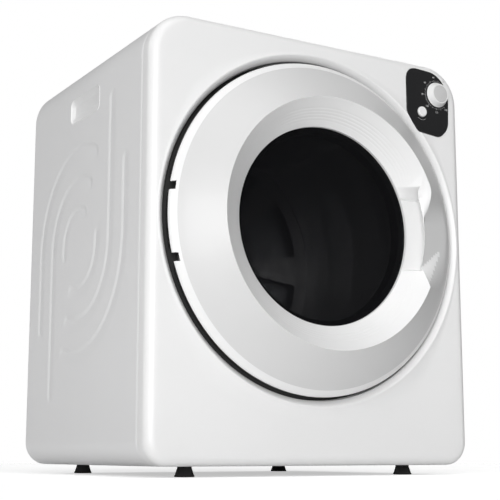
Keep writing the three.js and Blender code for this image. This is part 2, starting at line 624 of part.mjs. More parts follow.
function makeHeater() {
  const y = BULKHEAD_Y + SHEET + GAP;
  const low = DOOR_Z + 124;
  const cover = block(-84, 84, y, y + 46, low, low + 76);
  const hollow = block(-81, 81, y - 1, y + 43, low + 3, low + 73);
  const vent = block(-60, 60, y + 40, y + 50, low + 16, low + 60);
  piece("heater_cover", cover.subtract(hollow).subtract(vent), paint(STEEL, 0.4, 0.8));
  let element = block(-74, 74, y + 8, y + 34, low + 8, low + 68);
  for (let x = -63; x <= 63; x += 18) {
    element = element.subtract(block(x - 6, x + 6, y, y + 50, low + 14, low + 62));
  }
  piece("heater_element", element, paint(0xb8a890, 0.6, 0.4));
  const sensor = rod(9, DUCT_BACK + GAP, DUCT_BACK + 9, { x: 60, z: 300, segments: 20 });
  piece("thermostat", sensor, paint(0x202224, 0.5));
}

function makeMainsInlet() {
  const y = BACK - 8;
  const box = block(GLAND.x - 32, GLAND.x + 32, y - 30, y - 4, GLAND.z - 24, GLAND.z + 24);
  const mouth = rod(6, y - 12, y, { x: GLAND.x, z: GLAND.z, segments: 16 });
  piece("terminal_box", box.subtract(mouth), paint(0xe6e2d6, 0.6));
  const gland = turned([
    [5, y - 3.5], [9, y - 3.5], [9, y + SHEET + GAP], [14, y + SHEET + GAP], [14, y + 7], [11, y + 7],
    [8, y + 20], [5, y + 20],
  ], { x: GLAND.x, z: GLAND.z, segments: 12 });
  piece("cord_gland", gland, paint(BLACK, 0.6));
}

makeCabinetWrap();
makeGrip("grip_left", -1);
makeGrip("grip_right", 1);
makeFrontPanel();
makeBackPanel();
makeBasePan();
makeFeet();
makeControls();
makeDoor();
makeHinge();
makeLatch();
makeBulkheads();
makeDrum();
makeLifters();
makeHub();
makeDrive();
makeAirPath();
makeHeater();
makeMainsInlet();

export default group;
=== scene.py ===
"""The looks of a compact vented clothes dryer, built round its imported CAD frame."""

import json
import math

import bmesh
import bpy
from mathutils import Matrix, Vector


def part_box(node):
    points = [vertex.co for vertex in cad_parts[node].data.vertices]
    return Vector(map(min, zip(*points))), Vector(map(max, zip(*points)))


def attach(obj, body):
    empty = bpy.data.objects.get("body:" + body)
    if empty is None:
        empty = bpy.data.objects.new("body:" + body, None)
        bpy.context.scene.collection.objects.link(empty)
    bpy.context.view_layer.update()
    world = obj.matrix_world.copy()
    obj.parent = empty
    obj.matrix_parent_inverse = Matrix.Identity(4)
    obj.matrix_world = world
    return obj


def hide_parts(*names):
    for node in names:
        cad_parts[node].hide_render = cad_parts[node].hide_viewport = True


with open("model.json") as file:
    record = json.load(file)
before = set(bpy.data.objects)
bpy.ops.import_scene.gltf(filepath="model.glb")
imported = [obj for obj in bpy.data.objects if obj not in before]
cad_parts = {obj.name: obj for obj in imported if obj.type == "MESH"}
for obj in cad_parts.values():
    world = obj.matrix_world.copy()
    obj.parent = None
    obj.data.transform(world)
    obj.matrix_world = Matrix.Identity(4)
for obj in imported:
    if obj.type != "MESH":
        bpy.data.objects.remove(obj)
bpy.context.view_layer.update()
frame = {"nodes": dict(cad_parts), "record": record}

# ---- sizes in millimetres, in the frame's axes ----
MM = 0.001
WIDTH = 600
HEIGHT = 704
BASE = 16
FRONT = -246
BACK = 246
TOP_CORNER = 66
LOW_CORNER = 38
EDGE_ROUND = 16
FLANGE = 32

DOOR_Z = 391
RECESS_FLOOR = FRONT + 20
GLASS_R = 160
HINGE_X = -252
HINGE_OFFSETS = (38, -70)

DRUM_R = 250
DRUM_BACK = 160

EXHAUST = {"x": 20, "z": 104, "r": 50, "length": 56}
KNOB = {"x": 250.5, "z": 651, "base": 22, "face": 16.5, "height": 11}
BUTTON = {"x": 217, "z": 616, "r": 9}
GRIP = {"y": 10, "z": 614, "width": 123, "height": 45}
GLAND = (-200, 130)
BACK_SHEET = BACK - 8
LOUVRES = (310, 350, 390, 430)
RIB_CENTRE = (26, 375)
RIB_DEPTH = 1.2
RIB_EDGE = 3.4
UPPER_RIBS = ((173, 146, 235), (119, 92, 122), (67, 45, 352))
LOWER_RIBS = ((95, 68, 394), (147, 119, 611), (200, 173, 497))

QUARTER = math.pi / 2
TURN = 2 * math.pi


def stand(t):
    """The depth coordinate of a point that stands t in front of the front face."""
    return FRONT - t


def polar(radius, angle, x=0, z=0):
    """The point at a radius and angle from (x, z)."""
    return x + radius * math.cos(angle), z + radius * math.sin(angle)


# ---- mesh helpers ----
def link(name, data):
    """An object of the data, in the scene."""
    obj = bpy.data.objects.new(name, data)
    bpy.context.scene.collection.objects.link(obj)
    return obj


def new_object(name, bm, material, smooth_angle=0.6):
    """A mesh object from a bmesh in millimetres, with smooth faces and sharp corners kept sharp."""
    bmesh.ops.remove_doubles(bm, verts=bm.verts, dist=1e-4)
    bmesh.ops.recalc_face_normals(bm, faces=bm.faces)
    bmesh.ops.scale(bm, vec=(MM, MM, MM), verts=bm.verts)
    mesh = bpy.data.meshes.new(name)
    bm.to_mesh(mesh)
    bm.free()
    obj = link(name, mesh)
    mesh.materials.append(material)
    soften(obj, smooth_angle)
    return obj


def soften(obj, smooth_angle=0.6):
    """Smooth shading, with edges sharper than the angle left sharp."""
    mesh = obj.data
    mesh.shade_smooth()
    mesh.set_sharp_from_angle(angle=smooth_angle)


def apply_modifiers(obj):
    """The object's mesh with its modifiers applied."""
    bpy.context.view_layer.update()
    evaluated = obj.evaluated_get(bpy.context.evaluated_depsgraph_get())
    mesh = bpy.data.meshes.new_from_object(evaluated)
    old = obj.data
    obj.modifiers.clear()
    obj.data = mesh
    bpy.data.meshes.remove(old)


def cut(obj, *cutters):
    """Takes the cutters away from the object and removes them."""
    for cutter in cutters:
        change = obj.modifiers.new("cut", "BOOLEAN")
        change.object = cutter
        change.operation = "DIFFERENCE"
        change.solver = "EXACT"
    apply_modifiers(obj)
    for cutter in cutters:
        bpy.data.objects.remove(cutter)
    soften(obj)
    return obj


def bevel(obj, width, segments=3, angle=0.5):
    """Rounds the edges that are sharper than the angle."""
    change = obj.modifiers.new("bevel", "BEVEL")
    change.width = width * MM
    change.segments = segments
    change.limit_method = "ANGLE"
    change.angle_limit = angle
    apply_modifiers(obj)
    soften(obj, 0.9)
    return obj


def join(name, objects):
    """One object made of several."""
    target = objects[0]
    bm = bmesh.new()
    for obj in objects:
        bm.from_mesh(obj.data)
    bm.to_mesh(target.data)
    bm.free()
    for obj in objects[1:]:
        bpy.data.objects.remove(obj)
    target.name = name
    soften(target)
    return target


def ring_of_faces(bm, rows, closed=True):
    """Quads between rows of vertices. A closed row joins its end to its start."""
    for a, b in zip(rows, rows[1:]):
        count = len(a)
        for i in range(count if closed else count - 1):
            j = (i + 1) % count
            corners = [a[i], a[j], b[j], b[i]]
            distinct = [v for k, v in enumerate(corners) if v not in corners[:k]]
            if len(distinct) > 2:
                bm.faces.new(distinct)


def closed_tube(bm, rows):
    """Quads between rows of vertices, and a face on each end."""
    ring_of_faces(bm, rows)
    bm.faces.new(rows[0])
    bm.faces.new(rows[-1])


def circle_row(bm, radius, y, count):
    """A row of vertices round a circle about the door's axis."""
    spots = [polar(radius, TURN * i / count, 0, DOOR_Z) for i in range(count)]
    return [bm.verts.new((x, y, z)) for x, z in spots]


def corner_curve(start, corner, end, steps):
    """The points of a short curve that replaces a corner."""
    parts = [k / steps for k in range(steps + 1)]
    return [tuple(start * (1 - t) ** 2 + corner * (2 * t * (1 - t)) + end * t * t) for t in parts]


def smooth_profile(points, steps=5):
    """The profile with each inner corner [a, b, round] replaced by a short curve."""
    made = [tuple(points[0][:2])]
    for before, here, after in zip(points, points[1:], points[2:]):
        radius = here[2] if len(here) > 2 else 0
        corner = Vector(here[:2])
        to_before = Vector(before[:2]) - corner
        to_after = Vector(after[:2]) - corner
        reach_a = min(radius, to_before.length * 0.48)
        reach_b = min(radius, to_after.length * 0.48)
        if radius <= 0:
            made.append(tuple(corner))
            continue
        start = corner + to_before.normalized() * reach_a
        end = corner + to_after.normalized() * reach_b
        made += corner_curve(start, corner, end, steps)
    made.append(tuple(points[-1][:2]))
    return made


def turned(name, profile, material, x=0, z=0, segments=128, shape=None, smooth_angle=0.6):
    """A closed profile of [radius, y] points turned about the axis through (x, z)."""
    bm = bmesh.new()
    rows = []
    for radius, y in profile:
        if radius < 1e-6:
            rows.append([bm.verts.new((x, y, z))] * segments)
            continue
        row = []
        for i in range(segments):
            angle = TURN * i / segments
            r, depth = shape(radius, y, angle) if shape else (radius, y)
            row.append(bm.verts.new((x + r * math.cos(angle), depth, z + r * math.sin(angle))))
        rows.append(row)
    both_on_axis = profile[0][0] < 1e-6 and profile[-1][0] < 1e-6
    ring_of_faces(bm, rows if both_on_axis else rows + [rows[0]])
    return new_object(name, bm, material, smooth_angle)


def prism(name, outline, axis, low, high, material):
    """An outline of points pushed along an axis from low to high."""
    bm = bmesh.new()
    place = {
        "x": lambda a, b, c: (c, a, b),
        "y": lambda a, b, c: (a, c, b),
        "z": lambda a, b, c: (a, b, c),
    }[axis]
    rows = [[bm.verts.new(place(a, b, c)) for a, b in outline] for c in (low, high)]
    closed_tube(bm, rows)
    return new_object(name, bm, material)


def box(name, x0, x1, y0, y1, z0, z1, material):
    return prism(name, [(x0, y0), (x1, y0), (x1, y1), (x0, y1)], "z", z0, z1, material)


def rounded_rect(x0, x1, z0, z1, low, high=None, steps=12, edges=(1, 1)):
    """The points of a rectangle with rounded corners, anticlockwise from low right.

    Its low and high corners have their own radius. edges says how many spans there are along a
    vertical and a horizontal edge, so that outlines of different insets match point for point.
    """
    high = low if high is None else high
    corners = (
        (x1 - low, z0 + low, low, -QUARTER),
        (x1 - high, z1 - high, high, 0),
        (x0 + high, z1 - high, high, QUARTER),
        (x0 + low, z0 + low, low, 2 * QUARTER),
    )
    arcs = []
    for cx, cz, radius, start in corners:
        turns = [start + QUARTER * k / steps for k in range(steps + 1)]
        arcs.append([(cx + radius * math.cos(a), cz + radius * math.sin(a)) for a in turns])
    points = []
    for i, arc in enumerate(arcs):
        points += arc
        here, after = Vector(arc[-1]), Vector(arcs[(i + 1) % 4][0])
        spans = edges[i % 2]
        points += [tuple(here.lerp(after, k / spans)) for k in range(1, spans)]
    return points


def cabinet_outline(inset, edges=(1, 1), steps=16):
    return rounded_rect(
        -WIDTH / 2 + inset, WIDTH / 2 - inset, BASE + inset, HEIGHT - inset,
        LOW_CORNER - inset, TOP_CORNER - inset, steps, edges,
    )


# ---- materials ----
def principled(name, colour, roughness, metallic=0.0, **more):
    """A material with one Principled shader, and its node tree for more detail."""
    made = bpy.data.materials.new(name)
    made.use_nodes = True
    tree = made.node_tree
    shader = tree.nodes["Principled BSDF"]
    shader.inputs["Base Color"].default_value = (*colour, 1)
    shader.inputs["Roughness"].default_value = roughness
    shader.inputs["Metallic"].default_value = metallic
    for socket, value in more.items():
        shader.inputs[socket.replace("_", " ")].default_value = value
    return made, tree, shader


def noise(tree, scale, detail=3, stretch=(1, 1, 1), kind="ShaderNodeTexNoise"):
    """A texture in object coordinates, stretched along the axes."""
    coords = tree.nodes.new("ShaderNodeTexCoord")
    mapping = tree.nodes.new("ShaderNodeMapping")
    mapping.inputs["Scale"].default_value = stretch
    texture = tree.nodes.new(kind)
    texture.inputs["Scale"].default_value = scale
    if "Detail" in texture.inputs:
        texture.inputs["Detail"].default_value = detail
    tree.links.new(coords.outputs["Object"], mapping.inputs["Vector"])
    tree.links.new(mapping.outputs["Vector"], texture.inputs["Vector"])
    return texture


def spread(tree, source, low, high, start=0.3, end=0.7):
    """A texture's value mapped from start..end to low..high."""
    node = tree.nodes.new("ShaderNodeMapRange")
    node.inputs["From Min"].default_value = start
    node.inputs["From Max"].default_value = end
    node.inputs["To Min"].default_value = low
    node.inputs["To Max"].default_value = high
    tree.links.new(source, node.inputs["Value"])
    return node.outputs["Result"]


def ramp(tree, source, low, high, start=0.3, end=0.7):
    """A texture's value as a colour between two colours."""
    node = tree.nodes.new("ShaderNodeValToRGB")
    stops = node.color_ramp.elements
    stops[0].position, stops[1].position = start, end
    stops[0].color, stops[1].color = (*low, 1), (*high, 1)
    tree.links.new(source, node.inputs["Fac"])
    return node.outputs["Color"]


def bump(tree, shader, source, strength, distance_mm):
    """Bump from a texture's value, as deep as the distance."""
    node = tree.nodes.new("ShaderNodeBump")
    node.inputs["Strength"].default_value = strength
    node.inputs["Distance"].default_value = distance_mm * MM
    tree.links.new(source, node.inputs["Height"])
    previous = shader.inputs["Normal"].links
    if previous:
        tree.links.new(previous[0].from_socket, node.inputs["Normal"])
    tree.links.new(node.outputs["Normal"], shader.inputs["Normal"])


def vary_gloss(tree, shader, texture, low, high):
    """Lets a texture change the roughness."""
    tree.links.new(spread(tree, texture.outputs["Fac"], low, high), shader.inputs["Roughness"])


def vary_colour(tree, shader, texture, low, high):
    """Lets a texture change the colour."""
    tree.links.new(ramp(tree, texture.outputs["Fac"], low, high), shader.inputs["Base Color"])


def grey(value, tint=0.0):
    return (value, value, value + tint)


def make_enamel():
    """White stoved enamel on steel: a faint orange peel and a slow change of gloss."""
    made, tree, shader = principled(
        "white_enamel", grey(0.84, 0.004), 0.36, Coat_Weight=0.1, Coat_Roughness=0.2
    )
    peel = noise(tree, 260, 2)
    slow = noise(tree, 5, 3)
    bump(tree, shader, peel.outputs["Fac"], 0.1, 0.05)
    vary_gloss(tree, shader, slow, 0.34, 0.38)
    vary_colour(tree, shader, slow, grey(0.835, 0.004), grey(0.845, 0.003))
    return made


def make_moulding(name, value, roughness, grain=420, depth=0.03, coat=0.0):
    """Moulded plastic: a fine flow grain, a slow change of gloss and hardly any change of colour."""
    made, tree, shader = principled(name, grey(value), roughness, Coat_Weight=coat, Coat_Roughness=0.08)
    fine = noise(tree, grain, 3)
    flow = noise(tree, 7, 4, (1, 1, 2.2))
    bump(tree, shader, fine.outputs["Fac"], 0.15, depth)
    low, high = roughness - 0.015, roughness + 0.02
    vary_gloss(tree, shader, flow, low, high)
    darker, lighter = grey(value * 0.993), grey(min(1, value * 1.004))
    vary_colour(tree, shader, flow, darker, lighter)
    return made


def make_rubber(name, value, roughness=0.8):
    """Rubber: a dull grain with dust in its hollows."""
    made, tree, shader = principled(name, grey(value), roughness, Specular_IOR_Level=0.35)
    grain = noise(tree, 900, 4)
    dust = noise(tree, 40, 5)
    bump(tree, shader, grain.outputs["Fac"], 0.4, 0.08)
    vary_colour(tree, shader, dust, grey(value), grey(value * 1.5 + 0.01))
    vary_gloss(tree, shader, dust, roughness - 0.1, roughness + 0.08)
    return made


def make_brushed(name, value, roughness, stretch, scale=60, metallic=1.0):
    """Brushed steel: fine streaks along one direction in colour, gloss and bump."""
    made, tree, shader = principled(name, grey(value, 0.006), roughness, metallic)
    streaks = noise(tree, scale, 5, stretch)
    vary_colour(tree, shader, streaks, grey(value * 0.93, 0.005), grey(value * 1.04, 0.006))
    vary_gloss(tree, shader, streaks, roughness - 0.08, roughness + 0.12)
    bump(tree, shader, streaks.outputs["Fac"], 0.2, 0.05)
    return made


def make_galvanised():
    """Galvanised sheet: a spangle of crystals, each with its own grey and gloss."""
    made, tree, shader = principled("galvanised_sheet", grey(0.6, 0.015), 0.42, 0.85)
    crystals = noise(tree, 95, kind="ShaderNodeTexVoronoi")
    cloud = noise(tree, 12, 4)
    tree.links.new(
        ramp(tree, crystals.outputs["Color"], (0.47, 0.49, 0.51), (0.68, 0.7, 0.72), 0.1, 0.9),
        shader.inputs["Base Color"],
    )
    vary_gloss(tree, shader, cloud, 0.34, 0.52)
    bump(tree, shader, crystals.outputs["Distance"], 0.1, 0.05)
    return made


def make_black_gloss():
    """Gloss black moulding, hand polished, with hair-fine marks in its gloss."""
    made, tree, shader = principled(
        "gloss_black", grey(0.012, 0.001), 0.12, Coat_Weight=0.5, Coat_Roughness=0.03
    )
    marks = noise(tree, 30, 6, (1, 1, 5))
    vary_gloss(tree, shader, marks, 0.09, 0.2)
    bump(tree, shader, marks.outputs["Fac"], 0.02, 0.02)
    return made


def make_smoked_glass(name, opacity):
    """Smoked glass, seen through weakly, with a trace of wiping marks in its gloss."""
    made, tree, shader = principled(name, grey(0.004, 0.001), 0.03, Alpha=opacity, Specular_IOR_Level=0.2)
    wipe = noise(tree, 6, 4, (1, 1, 3))
    vary_gloss(tree, shader, wipe, 0.015, 0.06)
    return made


def make_felt():
    """Pressed wool felt: matted fibres with a soft sheen."""
    made, tree, shader = principled(
        "wool_felt", (0.34, 0.31, 0.27), 0.95, Sheen_Weight=0.4, Sheen_Roughness=0.5
    )
    fibres = noise(tree, 500, 8, (1, 0.3, 1))
    vary_colour(tree, shader, fibres, (0.25, 0.23, 0.2), (0.45, 0.42, 0.37))
    bump(tree, shader, fibres.outputs["Fac"], 0.8, 0.5)
    return made


def make_print():
    """Pale grey printing ink."""
    made, tree, shader = principled("panel_print", grey(0.55), 0.45)
    worn = noise(tree, 700, 3)
    vary_colour(tree, shader, worn, grey(0.42), grey(0.62))
    return made


def make_heater_fins():
    """Heater fins: aluminium, straw coloured in patches by the heat."""
    made, tree, shader = principled("heated_fins", (0.6, 0.56, 0.48), 0.45, 0.9)
    heat = noise(tree, 25, 4)
    vary_colour(tree, shader, heat, (0.5, 0.42, 0.3), (0.62, 0.6, 0.56))
    vary_gloss(tree, shader, heat, 0.35, 0.6)
    return made


MATERIALS = {
    "white_steel": make_enamel(),
    "white_plastic": make_moulding("white_moulding", 0.86, 0.4, coat=0.05),
    "grey_plastic": make_moulding("grey_moulding", 0.6, 0.42),
    "cream_plastic": make_moulding("cream_moulding", 0.66, 0.55, depth=0.08),
    "black_gloss": make_black_gloss(),
    "black_plastic": make_moulding("black_moulding", 0.02, 0.45, grain=600, depth=0.12),
    "black_metal": make_moulding("black_powder_coat", 0.018, 0.5, grain=500, depth=0.15),
    "black_rubber": make_rubber("black_rubber", 0.014),
    "grey_rubber": make_rubber("grey_rubber", 0.12),
    "smoked_glass": make_smoked_glass("smoked_window", 0.5),
    "drum_steel": make_brushed("drum_steel", 0.75, 0.42, (1, 0.04, 1), metallic=0.7),
    "galvanised_steel": make_galvanised(),
    "bright_steel": make_brushed("turned_steel", 0.68, 0.25, (1, 6, 1), 120),
    "motor_paint": make_moulding("motor_enamel", 0.16, 0.5, grain=300, depth=0.15),
    "heater_fins": make_heater_fins(),
    "felt": make_felt(),
}
PRINT = make_print()
BOWL_GLASS = make_smoked_glass("smoked_bowl", 0.15)
# A darker copy of the white moulding: painted shade for the door ring's outer slope.
SLOPE_SHADE_WHITE = make_moulding("slope_painted_shade_white", 0.68, 0.42, coat=0.05)


def paint_frame():
    """Gives each CAD node the material of its slot in the record."""
    for part in frame["record"]["subparts"]:
        node = frame["nodes"][part["node"]]
        node.data.materials.clear()
        node.data.materials.append(MATERIALS[part["material_slot"]])


def place(obj, body, slot_name, *nodes):
    """Lets a finished piece ride on its body and stand for its CAD nodes."""
    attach(obj, body)
    if nodes:
        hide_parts(*nodes)
    return obj


def turned_piece(name, profile, body, slot_name, node=None, x=0, z=DOOR_Z, segments=160, shape=None):
    """A turned piece in its slot's material, placed on its body."""
    obj = turned(name, profile, MATERIALS[slot_name], x, z, segments, shape)
    return place(obj, body, slot_name, *([node] if node else []))


def standing(profile):
    """A profile of [radius, stand] points as [radius, y]."""
    return [(r, stand(t)) for r, t in profile]


# ---- cabinet ----
def ease(value, width):
    """A smooth step from 0 to 1 as the value goes from -width/2 to width/2."""
    t = min(1, max(0, value / width + 0.5))
    return t * t * (3 - 2 * t)


def in_ring_band(y, z, inner, outer, start, end, leg):
    """Where a point lies in a stamped rib made of an arc and a straight leg.

    The first number is the distance inside its edge, negative outside, and the second the
    distance out from its middle line, seen from the arc's centre.
    """
    dy, dz = y - RIB_CENTRE[0], z - RIB_CENTRE[1]
    radius = math.hypot(dy, dz)
    middle, half = (inner + outer) / 2, (outer - inner) / 2
    angle = math.atan2(dz, dy) % TURN
    spots = []
    if start <= angle <= end:
        spots.append((half - abs(radius - middle), radius - middle))
    else:
        tips = [(middle * math.cos(a), middle * math.sin(a)) for a in (start, end)]
        spots += [(half - math.dist((dy, dz), tip), radius - middle) for tip in tips]
    side, low, high = leg
    across = side * dy - middle
    nearest = min(high, max(low, z))
    spots.append((half - math.hypot(across, z - nearest), across))
    return max(spots)


def rib_height(y, z):
    """How far out the side stands at a point: the stamped ribs are pressed in, so below 0 there."""
    height = 0.0
    centre_z = RIB_CENTRE[1]
    for outer, inner, low in UPPER_RIBS:
        inside, out = in_ring_band(y, z, inner, outer, 0, QUARTER + 0.4, (1, low + 13, centre_z))
        height = max(height, rib_section(inside, out, outer - inner))
    for outer, inner, high in LOWER_RIBS:
        leg = (-1, centre_z, high - 13)
        inside, out = in_ring_band(y, z, inner, outer, 2 * QUARTER, 3 * QUARTER + 0.3, leg)
        height = max(height, rib_section(inside, -out, outer - inner))
    return -RIB_DEPTH * height


def rib_section(inside, toward_crisp, width):
    """A rib's depth, as a share: a long slope on its soft side, and a crisp edge round the rest."""
    return ease(toward_crisp, width) * ease(inside - RIB_EDGE / 2, RIB_EDGE)


def grip_outline(inset, steps=10):
    y, z = GRIP["y"], GRIP["z"]
    half_y, half_z = GRIP["width"] / 2 - inset, GRIP["height"] / 2 - inset
    return rounded_rect(y - half_y, y + half_y, z - half_z, z + half_z, 12 - inset, steps=steps)


def make_wrap():
    """The steel wrap: one sheet bent round the machine, with ribs stamped into both sides."""
    cell = 3
    edges = (195, 24)
    tuck = 0.8
    front = FRONT + FLANGE + 0.3
    count = round((BACK - front) / cell)
    bm = bmesh.new()
    rows = []
    for k in range(count + 1):
        y = front + (BACK - front) * k / count
        near_end = min(y - front, BACK - y)
        row = []
        for x, z in cabinet_outline(tuck * (1 - ease(near_end - 1.2, 2.4)), edges):
            on_side = LOW_CORNER + BASE < z < HEIGHT - TOP_CORNER
            lift = rib_height(y, z) if on_side else 0
            row.append(bm.verts.new((x + lift * (1 if x > 0 else -1), y, z)))
        rows.append(row)
    for y in (BACK, front):
        rows.append([bm.verts.new((x, y, z)) for x, z in cabinet_outline(2, edges)])
    ring_of_faces(bm, rows + [rows[0]])
    wrap = new_object("cabinet_wrap_sheet", bm, MATERIALS["white_steel"])
    far = WIDTH / 2 + 5
    cut(wrap, prism("hole", grip_outline(0), "x", -far, far, MATERIALS["white_steel"]))
    place(wrap, "cabinet", "white_steel", "cabinet_wrap")


def make_grip(side, node):
    """A shallow hand grip: a fine bead, bevelled walls that are widest above and below, a flat floor."""
    rim = grip_outline(0)
    y0, y1 = GRIP["y"] - GRIP["width"] / 2, GRIP["y"] + GRIP["width"] / 2
    z0, z1 = GRIP["z"] - GRIP["height"] / 2, GRIP["z"] + GRIP["height"] / 2
    floor = rounded_rect(y0 + 6, y1 - 9, z0 + 16, z1 - 11, 5, steps=10)
    face = side * WIDTH / 2
    bm = bmesh.new()

    def row(part, depth):
        spots = [mix(a, b, part) for a, b in zip(rim, floor)]
        return [bm.verts.new((face - side * depth, y, z)) for y, z in spots]

    front = [(0, 1.8), (0, 0), (0.02, -0.35), (0.06, -0.45), (0.1, -0.1), (0.14, 0.5), (0.5, 2.4)]
    front += [(0.88, 4.3), (0.93, 4.7), (0.97, 4.9), (1, 4.95)]
    rows = [row(*spot) for spot in front]
    behind = [rows[0]] + [row(*spot) for spot in ((0.5, 4.4), (1, 6.9))]
    for last in (rows[-1], behind[-1]):
        bm.faces.new(last)
    ring_of_faces(bm, rows)
    ring_of_faces(bm, behind)
    cup = new_object(node + "_cup", bm, MATERIALS["white_plastic"], 0.9)
    place(cup, "cabinet", "white_plastic", node)


def plate_outline(grow=0, steps=8):
    """The control plate's outline, with its corners rounded."""
    corners = (
        (184, 694, 26), (247, 690, 13), (267, 674, 10), (277, 648, 12),
        (275, 593, 12), (256, 575, 9), (209, 580, 6), (184, 611, 8),
    )
    centre = Vector((sum(c[0] for c in corners), sum(c[1] for c in corners))) / len(corners)
    spots = []
    for a, b, radius in corners:
        away = Vector((a, b)) - centre
        spots.append((Vector((a, b)) + away.normalized() * grow, radius))
    points = []
    for i, (corner, radius) in enumerate(spots):
        before = spots[i - 1][0]
        after = spots[(i + 1) % len(spots)][0]
        start = corner + (before - corner).normalized() * radius
        end = corner + (after - corner).normalized() * radius
        points += corner_curve(start, corner, end, steps)
    return points


def recess_wall():
    """The recess, from its beaded lip to its floor and the port's rim, as [radius, y]."""
    floor = RECESS_FLOOR
    lip = [(288, 0), (287, -0.5), (285.6, -0.8), (284.2, -0.4), (283, 0.6)]
    lip += [(276, 8), (275.3, 9.4), (275.2, 11)]
    wall = [(r, FRONT + t) for r, t in lip]
    wall += [(275.2, floor - 3), (274.8, floor - 1.2), (273.8, floor - 0.2), (270, floor), (204, floor)]
    wall += [(202.4, floor + 0.8), (202, floor + 3), (202, floor + 9.5), (204.5, floor + 9.5)]
    return wall + [(205, floor + 3), (281, floor + 3), (281, FRONT + 3)]


def make_front_panel():
    """The moulded front: a rounded outer edge, a flat face, a beaded recess and its floor, with a black ring
    on that floor as painted shade.
    """
    edges = (64, 56)
    bm = bmesh.new()

    def outline_row(inset, y):
        return [bm.verts.new((x, y, z)) for x, z in cabinet_outline(inset, edges, 14)]

    rows = [outline_row(3.2, FRONT + FLANGE), outline_row(0.6, FRONT + FLANGE)]
    rows += [outline_row(0, FRONT + FLANGE - 0.6), outline_row(0, FRONT + EDGE_ROUND + 6)]
    for k in range(9):
        angle = QUARTER * k / 8
        inset, depth = 1 - math.cos(angle), 1 - math.sin(angle)
        rows.append(outline_row(EDGE_ROUND * inset, FRONT + EDGE_ROUND * depth))
    face = [Vector((v.co.x, v.co.z - DOOR_Z)) for v in rows[-1]]
    wall = recess_wall()
    spans = 5
    for k in range(1, spans):
        spots = [p.lerp(p.normalized() * wall[0][0], k / spans) for p in face]
        rows.append([bm.verts.new((p.x, FRONT, DOOR_Z + p.y)) for p in spots])
    for radius, y in wall:
        spots = [p.normalized() * radius for p in face]
        rows.append([bm.verts.new((p.x, y, DOOR_Z + p.y)) for p in spots])
    rows.append(outline_row(14, FRONT + 3))
    ring_of_faces(bm, rows + [rows[0]])
    plastic = MATERIALS["white_plastic"]
    panel = new_object("front_panel_moulding", bm, plastic, 0.7)
    floor = RECESS_FLOOR
    cut(
        panel,
        prism("seat", plate_outline(0.5), "y", FRONT - 5, FRONT + 1.2, plastic),
        drill("knob_hole", KNOB["x"], KNOB["z"], 8, FRONT - 1, FRONT + 10),
        drill("button_hole", BUTTON["x"], BUTTON["z"], BUTTON["r"] + 1, FRONT - 1, FRONT + 10),
        box("strike", 236, 256, floor - 1, floor + 10, DOOR_Z - 14, DOOR_Z + 14, plastic),
    )
    place(panel, "cabinet", "white_plastic", "front_panel")
    # A thin black ring on the recess floor: a dark sheet that paints the shade in the gap round the door.
    shade_ring = [(206, -0.2), (207, -0.8), (273.6, -0.8), (274.6, -0.2), (274.6, 0.4), (206, 0.4)]
    turned_piece("recess_shade_ring", [(r, floor + t) for r, t in shade_ring], "cabinet", "black_plastic")


def drill(name, x, z, radius, y0, y1, segments=48):
    """A cutter for a round hole along Y."""
    outline = [polar(radius, TURN * k / segments, x, z) for k in range(segments)]
    return prism(name, outline, "y", y0, y1, MATERIALS["white_plastic"])


def make_feet():
    """Four rubber cone feet with a rolled sole."""
    for node in ("foot_front_left", "foot_front_right", "foot_rear_left", "foot_rear_right"):
        low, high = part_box(node)
        x, y = (low.x + high.x) / 2 / MM, (low.y + high.y) / 2 / MM
        profile = [(0, 1.2), (11, 1.2), (11.6, 0), (14.2, 0), (15.2, 0.5), (15.5, 1.6), (15.1, 2.6)]
        profile += [(14.4, 3.2), (10.8, 14.2), (11.2, 15), (11.2, 15.7), (0, 15.7)]
        foot = turned(node + "_cone", profile, MATERIALS["black_rubber"], segments=48)
        foot.data.transform(Matrix.Translation((x * MM, y * MM, 0)) @ Matrix.Rotation(QUARTER, 4, "X"))
        place(foot, "cabinet", "black_rubber", node)


def make_back_panel():
    """The galvanised back: vent slots with hoods, its two holes, and the screws that hold it."""
    y = BACK_SHEET
    steel = MATERIALS["galvanised_steel"]
    outline = cabinet_outline(2.3, steps=10)
    panel = prism("back_panel_sheet", outline, "y", y, y + 2, steel)
    slots = [
        prism("slot", rounded_rect(-120, 20, z, z + 8, 3.9, steps=6), "y", y - 5, y + 5, steel)
        for z in LOUVRES
    ]
    exhaust = drill("exhaust", EXHAUST["x"], EXHAUST["z"], EXHAUST["r"] + 1, y - 5, y + 5, 96)
    gland = drill("gland", *GLAND, 9.8, y - 5, y + 5)
    cut(panel, exhaust, gland, *slots)
    bevel(panel, 0.4, 2)
    place(panel, "cabinet", "galvanised_steel", "back_panel")
    for z in LOUVRES:
        hood = louvre_hood(z + 8, y + 2)
        place(hood, "cabinet", "galvanised_steel")
    for i, (x, z) in enumerate(screw_places()):
        place(screw("back_screw_" + str(i + 1), x, y + 2, z), "cabinet", "bright_steel")


def louvre_hood(z, y):
    """A hood pressed out over a vent slot, open below."""
    steps = 10
    bm = bmesh.new()
    for shell in (0, 0.8):
        rows = []
        for k in range(steps + 1):
            angle = QUARTER * k / steps
            out = (4.6 - shell) * math.cos(angle)
            rise = (7 - shell) * math.sin(angle)
            row = []
            for i in range(25):
                t = i / 24
                end = min(1, 6 * min(t, 1 - t)) ** 0.5
                x = -126 + shell + (152 - 2 * shell) * t
                row.append(bm.verts.new((x, y + out * end + 0.02, z - 7 + 1 + rise)))
            rows.append(row)
        ring_of_faces(bm, rows, closed=False)
        if shell:
            inner = rows
        else:
            outer = rows
    for a, b in ((outer[0], inner[0]), (outer[-1], inner[-1])):
        ring_of_faces(bm, [a, b], closed=False)
    for side in (0, -1):
        ring_of_faces(bm, [[r[side] for r in outer], [r[side] for r in inner]], closed=False)
    return new_object("louvre_" + str(round(z)), bm, MATERIALS["galvanised_steel"], 0.9)


